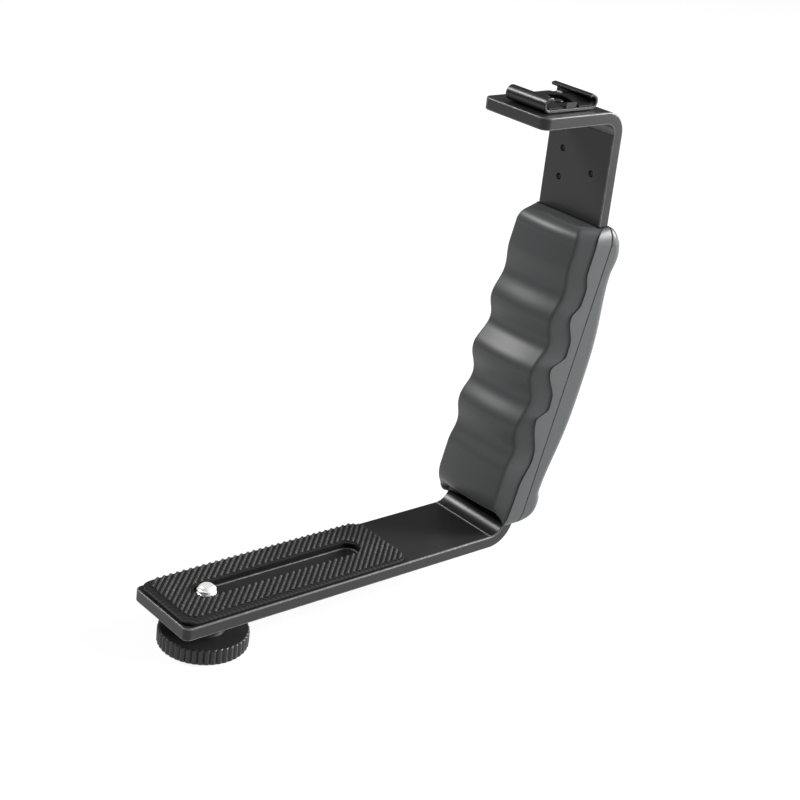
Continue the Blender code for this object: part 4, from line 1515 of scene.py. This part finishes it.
    def palm_ring(self, height: float) -> Ring:
        """One ring of the rear half.

        Args:
            height: the ring's height above the arm's top face.

        Returns:
            The ring.
        """
        half = self.half_width(height)
        parting = self.bar.rear_x(height) + self.parting_gap
        rear = self.bar.rear_x(height) + max(self.least_wall, self.palm(height))
        radius = min(self.corner, (rear - parting) * self.corner_share)
        edge = min(self.parting_edge, (rear - parting) * self.parting_share)
        side = arc((parting + edge, -half + edge), edge, -2 * QUARTER, -QUARTER, self.parting_steps)
        side += arc((rear - radius, -half + radius), radius, -QUARTER, 0, self.corner_steps)
        across = [(-half + radius) * (1 - 2 * index / self.face_steps) for index in range(1, self.face_steps)]
        return self.both_sides([(x, y, height) for x, y in side], [(rear, y, height) for y in across])

    def screw_frames(self) -> list[Matrix]:
        """The frames of both screws, on the bar's rear face."""
        span = self.top - self.bottom
        return [self.bar.screw_frame(self.bottom + span * share) for share in self.screw_shares]

    def screw_profile(self, seat: float, head: float) -> list[Point]:
        """The profile of a screw with a domed head.

        Args:
            seat: the height of its head's underside above the bar.
            head: the height of its head's top.

        Returns:
            The (radius, height) pairs, from its point up.
        """
        end = -(self.bar.thick + self.screw_bite)
        curve = self.dome_curve * self.head_dome
        dome = arc((0, head - curve), curve, *self.dome_turn, 5)
        widen = self.head_radius - self.head_dome / 2
        rim = self.head_rim
        return [
            (self.point_radius, end), (self.screw_radius * self.point_taper, end + self.screw_radius),
            (self.screw_radius, end + self.point_length), (self.screw_radius, seat),
            (self.head_radius - rim, seat), (self.head_radius, seat + rim),
            (self.head_radius, dome[0][1] - self.head_dome / 3),
            *((radius / dome[0][0] * widen, height) for radius, height in dome),
        ]

    def make_screws(self) -> None:
        """Builds the two screws with domed heads and cross recesses, and hands them over."""
        seat = self.screw_web + 2 * self.well_clearance
        head = seat + self.head_height
        profile = self.screw_profile(seat, head)
        for name, place in zip(("lower", "upper"), self.screw_frames()):
            screw = turned(f"cross_head_screw_{name}", profile, place, sides=48)
            for turn in (0, QUARTER):
                wing = add("cube", "recess_tool", size=1)
                wing.data.transform(Matrix.Diagonal((*self.recess, 1)))
                with editing(wing):
                    pick(wing, Part.VERTS, lambda vert: vert.co.z < 0)
                    stretch(self.recess_taper, Vector((0, 0, -self.recess[2] / 2)))
                wing.data.transform(place @ Matrix.Translation((0, 0, head)) @ Matrix.Rotation(turn, 4, "Z"))
                carve(screw, wing)
            hand_over(screw, 35, FINISHES.steel, Body.BRACKET, f"grip_screw_{name}")

    def build(self) -> None:
        """Builds both halves and the screws, and hands them over."""
        front = raise_rings("grip_front", [self.finger_ring(height) for height in self.heights()])
        back = raise_rings("grip_back", [self.palm_ring(height) for height in self.heights()])
        clear, reach = self.well_clearance, self.palm_reach
        rise = Matrix.Translation((0, 0, self.screw_web + clear + reach))
        for place in self.screw_frames():
            bore(back, place, self.screw_radius + clear, 4 * reach)
            bore(back, place @ rise, self.head_radius + clear, 2 * reach, 64)
        for half, node in ((front, "grip_finger_half"), (back, "grip_palm_half")):
            hand_over(half, 38, FINISHES.grip, Body.BRACKET, node)
        self.make_screws()


# The accessory shoe


@dataclass
class AccessoryShoe:
    """The shoe: a floor with two rolled rails, a leaf spring in it, and the rivets that hold both."""

    bar: BentBar
    width: float = 0.0248
    length: float = 0.0185
    sheet: float = 0.0010
    rail_radius: float = 0.0026
    lip_angle: float = math.radians(35)
    rail_steps: int = 20
    sheet_edge: float = 0.00016
    spring_sheet: float = 0.0004
    wing_tuck: float = 0.0004
    wing_rise: float = 0.0015
    wing_power: float = 1.5
    wing_columns: tuple[int, ...] = (0, 1, 4, 5)
    tongue_width: float = 0.0046
    slit: float = 0.0015
    bridge: float = 0.0018
    far_gap: float = 0.0006
    tab_height: float = 0.0018
    spring_steps: int = 28
    rivet_radius: float = 0.0010
    rivet_head: float = 0.0017
    rivet_height: float = 0.0007
    rivet_shares: Point = (0.34, 0.68)
    rivet_reach: float = 0.012
    dome_turn: float = QUARTER - 0.15
    seat: float = 0.0003
    middle: float = field(init=False)
    near: float = field(init=False)
    base: float = field(init=False)

    def __post_init__(self) -> None:
        """Takes the shoe's place from its solid."""
        self.middle, low, _ = stand("shoe_body")
        self.near, self.base = low.y, low.z

    def rivet_frames(self) -> list[Matrix]:
        """The rivets' frames, at the top plate's top face."""
        return [Matrix.Translation((self.middle, self.near + self.length * share, self.bar.plate_top))
                for share in self.rivet_shares]

    def rivet_holes(self, sheet: Object) -> None:
        """Cuts the holes for both rivets."""
        for place in self.rivet_frames():
            bore(sheet, place, self.rivet_radius + self.seat, self.rivet_reach)

    def make_body(self) -> None:
        """Builds the floor and spins its two edges into rails."""
        flat = self.width - 2 * self.rail_radius
        centre = Vector((self.middle, self.near + self.length / 2, self.base))
        shoe = add("plane", "rolled_shoe", size=1, location=centre)
        with editing(shoe):
            stretch((flat, self.length, 1), centre)
            for side in (-1, 1):
                edge_x = self.middle + side * flat / 2
                pick(shoe, Part.EDGES, lambda edge: all(
                    abs(vert.co.x - edge_x) < MERGE and vert.co.z < self.base + MERGE for vert in edge.verts))
                bpy.ops.mesh.spin(steps=self.rail_steps, angle=math.pi + self.lip_angle,
                                  center=(edge_x, 0, self.base + self.rail_radius), axis=(0, side, 0))
            face_out(merge=True)
            turn_sheet(shoe, False, lambda spot: abs(spot.x - self.middle) < flat / 4)
        apply(shoe, "SOLIDIFY", thickness=self.sheet, offset=-1, use_even_offset=True)
        round_edges(shoe, self.sheet_edge, 2, 60)
        self.rivet_holes(shoe)
        hand_over(shoe, 35, FINISHES.gloss, Body.BRACKET, "shoe_body")

    def spring_grid(self, far: float) -> Object:
        """Lays the spring's leaf as a grid: its tongue and bridge level and its two wings arched.

        Args:
            far: where it ends, along Y.

        Returns:
            The grid, with the slits still filled.
        """
        tongue, wing = self.tongue_width / 2, self.width / 2 - self.rail_radius + self.wing_tuck
        columns = (-wing, -tongue - self.slit, -tongue, tongue, tongue + self.slit, wing)
        free = far - self.bridge - self.near
        rows = [self.near + free * step / self.spring_steps for step in range(self.spring_steps + 1)]
        rows.append(far)
        bottom = self.base + self.sheet + self.seat
        across, up = len(columns) - 1, len(rows) - 1
        spring = add("grid", "leaf_spring", x_subdivisions=across, y_subdivisions=up, size=2)
        for vert in spring.data.vertices:
            column, row = round((vert.co.x + 1) / 2 * across), round((vert.co.y + 1) / 2 * up)
            arch = math.sin(math.pi * min(row / self.spring_steps, 1)) ** self.wing_power
            rise = self.wing_rise * arch if column in self.wing_columns else 0
            vert.co = (self.middle + columns[column], rows[row], bottom + rise)
        return spring

    def make_spring(self) -> None:
        """Builds the leaf spring: a flat tongue with a stop tab between two arched wings."""
        far, tongue = self.near + self.length - self.far_gap, self.tongue_width / 2
        spring = self.spring_grid(far)

        def side(spot: Vector) -> float:
            """How far a point is from the spring's middle line."""
            return abs(spot.x - self.middle)

        with editing(spring):
            pick(spring, Part.FACES, lambda face: face.calc_center_median().y < far - self.bridge
                 and tongue < side(face.calc_center_median()) < tongue + self.slit)
            bpy.ops.mesh.delete(type="FACE")
            pick(spring, Part.EDGES, lambda edge: all(
                vert.co.y < self.near + MERGE and side(vert.co) < tongue + MERGE for vert in edge.verts))
            push(0, 0, self.tab_height)
            face_out()
            behind = self.near + self.bridge
            turn_sheet(spring, True, lambda spot: side(spot) < tongue / 2 and spot.y > behind)
        apply(spring, "SOLIDIFY", thickness=self.spring_sheet, offset=1, use_even_offset=True)
        self.rivet_holes(spring)
        hand_over(spring, 35, FINISHES.steel, Body.BRACKET, "shoe_spring")

    def make_rivets(self) -> None:
        """Builds the two rivets with domed heads."""
        top = 3 * self.seat + self.sheet + self.spring_sheet
        under = -(self.bar.thick + self.seat)
        dome = arc((0, 0), 1.0, 0.0, self.dome_turn, 6)
        profile = [
            *((self.rivet_head * x, under - self.rivet_height * z) for x, z in reversed(dome)),
            (self.rivet_radius, under), (self.rivet_radius, top),
            *((self.rivet_head * x, top + self.rivet_height * z) for x, z in dome),
        ]
        for name, place in zip(("near", "far"), self.rivet_frames()):
            rivet = turned(f"domed_rivet_{name}", profile, place, sides=40)
            hand_over(rivet, 40, FINISHES.steel, Body.BRACKET, f"shoe_rivet_{name}")

    def build(self) -> None:
        """Builds the shoe, its spring and its rivets."""
        self.make_body()
        self.make_spring()
        self.make_rivets()


# The studio


@dataclass
class Camera:
    """The photograph's camera, found from the bar's edges and corners."""

    azimuth: float = math.radians(-42.492)
    elevation: float = math.radians(19.867)
    roll: float = math.radians(6.964)
    distance: float = 0.566137
    target: Triple = (0.00625, 0.0, 0.0878)
    image: float = 800.0
    focal_pixels: float = 1743.076
    shift_pixels: Point = (-13.748, -103.025)
    sensor: float = 36.0
    clip_start: float = 0.01

    def build(self) -> None:
        """Places the camera and makes it the scene's."""
        level_share = math.cos(self.elevation)
        back = Vector((math.sin(self.azimuth) * level_share, -math.cos(self.azimuth) * level_share,
                       math.sin(self.elevation)))
        level = (-back).cross(Vector((0, 0, 1))).normalized()
        upright = level.cross(-back)
        right = level * math.cos(self.roll) + upright * math.sin(self.roll)
        above = upright * math.cos(self.roll) - level * math.sin(self.roll)
        place = Matrix((right, above, back)).transposed().to_4x4()
        place.translation = Vector(self.target) + back * self.distance
        lens = bpy.data.cameras.new("camera")
        lens.sensor_width = self.sensor
        lens.lens = self.focal_pixels / self.image * self.sensor
        lens.shift_x, lens.shift_y = (pixels / self.image for pixels in self.shift_pixels)
        lens.clip_start = self.clip_start
        camera = bpy.data.objects.new("camera", lens)
        camera.matrix_world = place
        bpy.context.scene.collection.objects.link(camera)
        bpy.context.scene.camera = camera


@dataclass(frozen=True)
class Lamp:
    """A square soft lamp that faces the bracket."""

    name: str
    place: Triple
    size: float
    power: float

    def hang(self, aim: Triple) -> None:
        """Hangs the lamp and turns it to a point.

        Args:
            aim: the point.
        """
        light = bpy.data.lights.new(self.name, "AREA")
        light.size, light.energy = self.size, self.power
        hung = bpy.data.objects.new(self.name, light)
        hung.location = self.place
        hung.rotation_euler = (Vector(aim) - Vector(self.place)).to_track_quat("-Z", "Y").to_euler()
        bpy.context.scene.collection.objects.link(hung)


@dataclass
class Studio:
    """A pale floor, a white surround with dim walls that only reflections see, and soft lamps."""

    floor_size: float = 6.0
    floor_gap: float = 0.00002
    world_light: float = 0.07
    floor_colour: float = 0.35
    floor_glow: float = 0.87
    floor_shade: float = 0.20
    wall_radius: float = 2.2
    wall_height: float = 2.4
    wall_glow: float = 0.10
    aim: Triple = (0.0, 0.0, 0.06)
    lamps: tuple[Lamp, ...] = (
        Lamp("right_key", (1.25, -0.70, 0.46), 0.6, 49.0),
        Lamp("front_fill", (-0.95, -1.35, 0.35), 1.5, 5.5),
        Lamp("right_edge", (0.72, -0.42, 0.85), 0.2, 1.6),
        Lamp("left_back", (-0.47, 0.78, 0.82), 0.3, 10.0),
    )

    @staticmethod
    def seen(nodes: NodeTree) -> Value:
        """Tells the rays that see from those that light.

        Args:
            nodes: the nodes of a material or of the world.

        Returns:
            1 for camera, glossy and transmission rays, and 0 for the rest.
        """
        camera, glossy, clear = (
            nodes.node("LightPath", out=f"Is {ray} Ray") for ray in ("Camera", "Glossy", "Transmission"))
        return (camera + glossy + clear).clamped()

    @staticmethod
    def matt(nodes: NodeTree, grey: float) -> Value:
        """A matt grey surface."""
        return nodes.node("BsdfDiffuse", inputs={"Color": (grey, grey, grey, 1)})

    @staticmethod
    def glow(nodes: NodeTree, strength: float) -> Value:
        """A surface that glows white."""
        return nodes.node("Emission", inputs={"Color": (1, 1, 1, 1), "Strength": strength})

    def shown_floor(self, nodes: NodeTree) -> Value:
        """The floor's shader: matt where it lights the bracket, and nearly white where it is seen.

        Args:
            nodes: the floor's nodes.

        Returns:
            The shader.
        """
        white = {0: self.matt(nodes, self.floor_shade), 1: self.glow(nodes, self.floor_glow)}
        shown = nodes.node("AddShader", inputs=white)
        pale = self.matt(nodes, self.floor_colour)
        return nodes.node("MixShader", inputs={0: self.seen(nodes), 1: pale, 2: shown})

    @staticmethod
    def stage(piece: Object, shader: Callable[[NodeTree], Value]) -> None:
        """Gives the floor or the walls their material.

        Args:
            piece: the floor or the walls.
            shader: makes the material's shader.
        """
        finish = bpy.data.materials.new(piece.name)
        finish.use_nodes = True
        tree = finish.node_tree
        tree.nodes.remove(tree.nodes["Principled BSDF"])
        nodes = NodeTree(tree)
        nodes.fill(tree.nodes["Material Output"].inputs["Surface"], shader(nodes))
        piece.data.materials.append(finish)

    def make_world(self) -> None:
        """Makes the surround white where it is seen and dim where it lights."""
        world = bpy.data.worlds.new("surround")
        bpy.context.scene.world = world
        world.use_nodes = True
        nodes = NodeTree(world.node_tree)
        strength = self.world_light + self.seen(nodes) * (1.0 - self.world_light)
        background = world.node_tree.nodes["Background"].inputs
        nodes.fill(background["Color"], (1, 1, 1, 1))
        nodes.fill(background["Strength"], strength)

    def build(self) -> None:
        """Builds the whole studio: the dim ring of walls keeps level faces of dark gloss dark."""
        bpy.context.scene.view_settings.view_transform = "Standard"
        self.make_world()
        low = CAD_BOX[0].z
        floor = add("plane", "studio_floor", size=self.floor_size, location=(0, 0, low - self.floor_gap))
        self.stage(floor, self.shown_floor)
        walls = add("cylinder", "dim_walls", vertices=64, radius=self.wall_radius, depth=self.wall_height,
                    end_fill_type="NOTHING", location=(0, 0, low + self.wall_height / 2))
        self.stage(walls, lambda nodes: self.glow(nodes, self.wall_glow))
        for rays in ("camera", "diffuse", "shadow", "transmission"):
            setattr(walls, f"visible_{rays}", False)
        for lamp in self.lamps:
            lamp.hang(self.aim)


def main() -> None:
    """Builds the camera, the bracket piece by piece and the studio."""
    logging.basicConfig(level=logging.INFO, format="%(name)s: %(message)s")
    Camera().build()
    bar = BentBar()
    grip = MouldedGrip(bar)
    shoe = AccessoryShoe(bar)
    bar.build(grip.screw_frames(), shoe.rivet_frames())
    for piece in (RibbedPad(bar), CameraScrew(), ThumbKnob(), NylonRings(), grip, shoe, Studio()):
        piece.build()


if __name__ == "__main__":
    main()
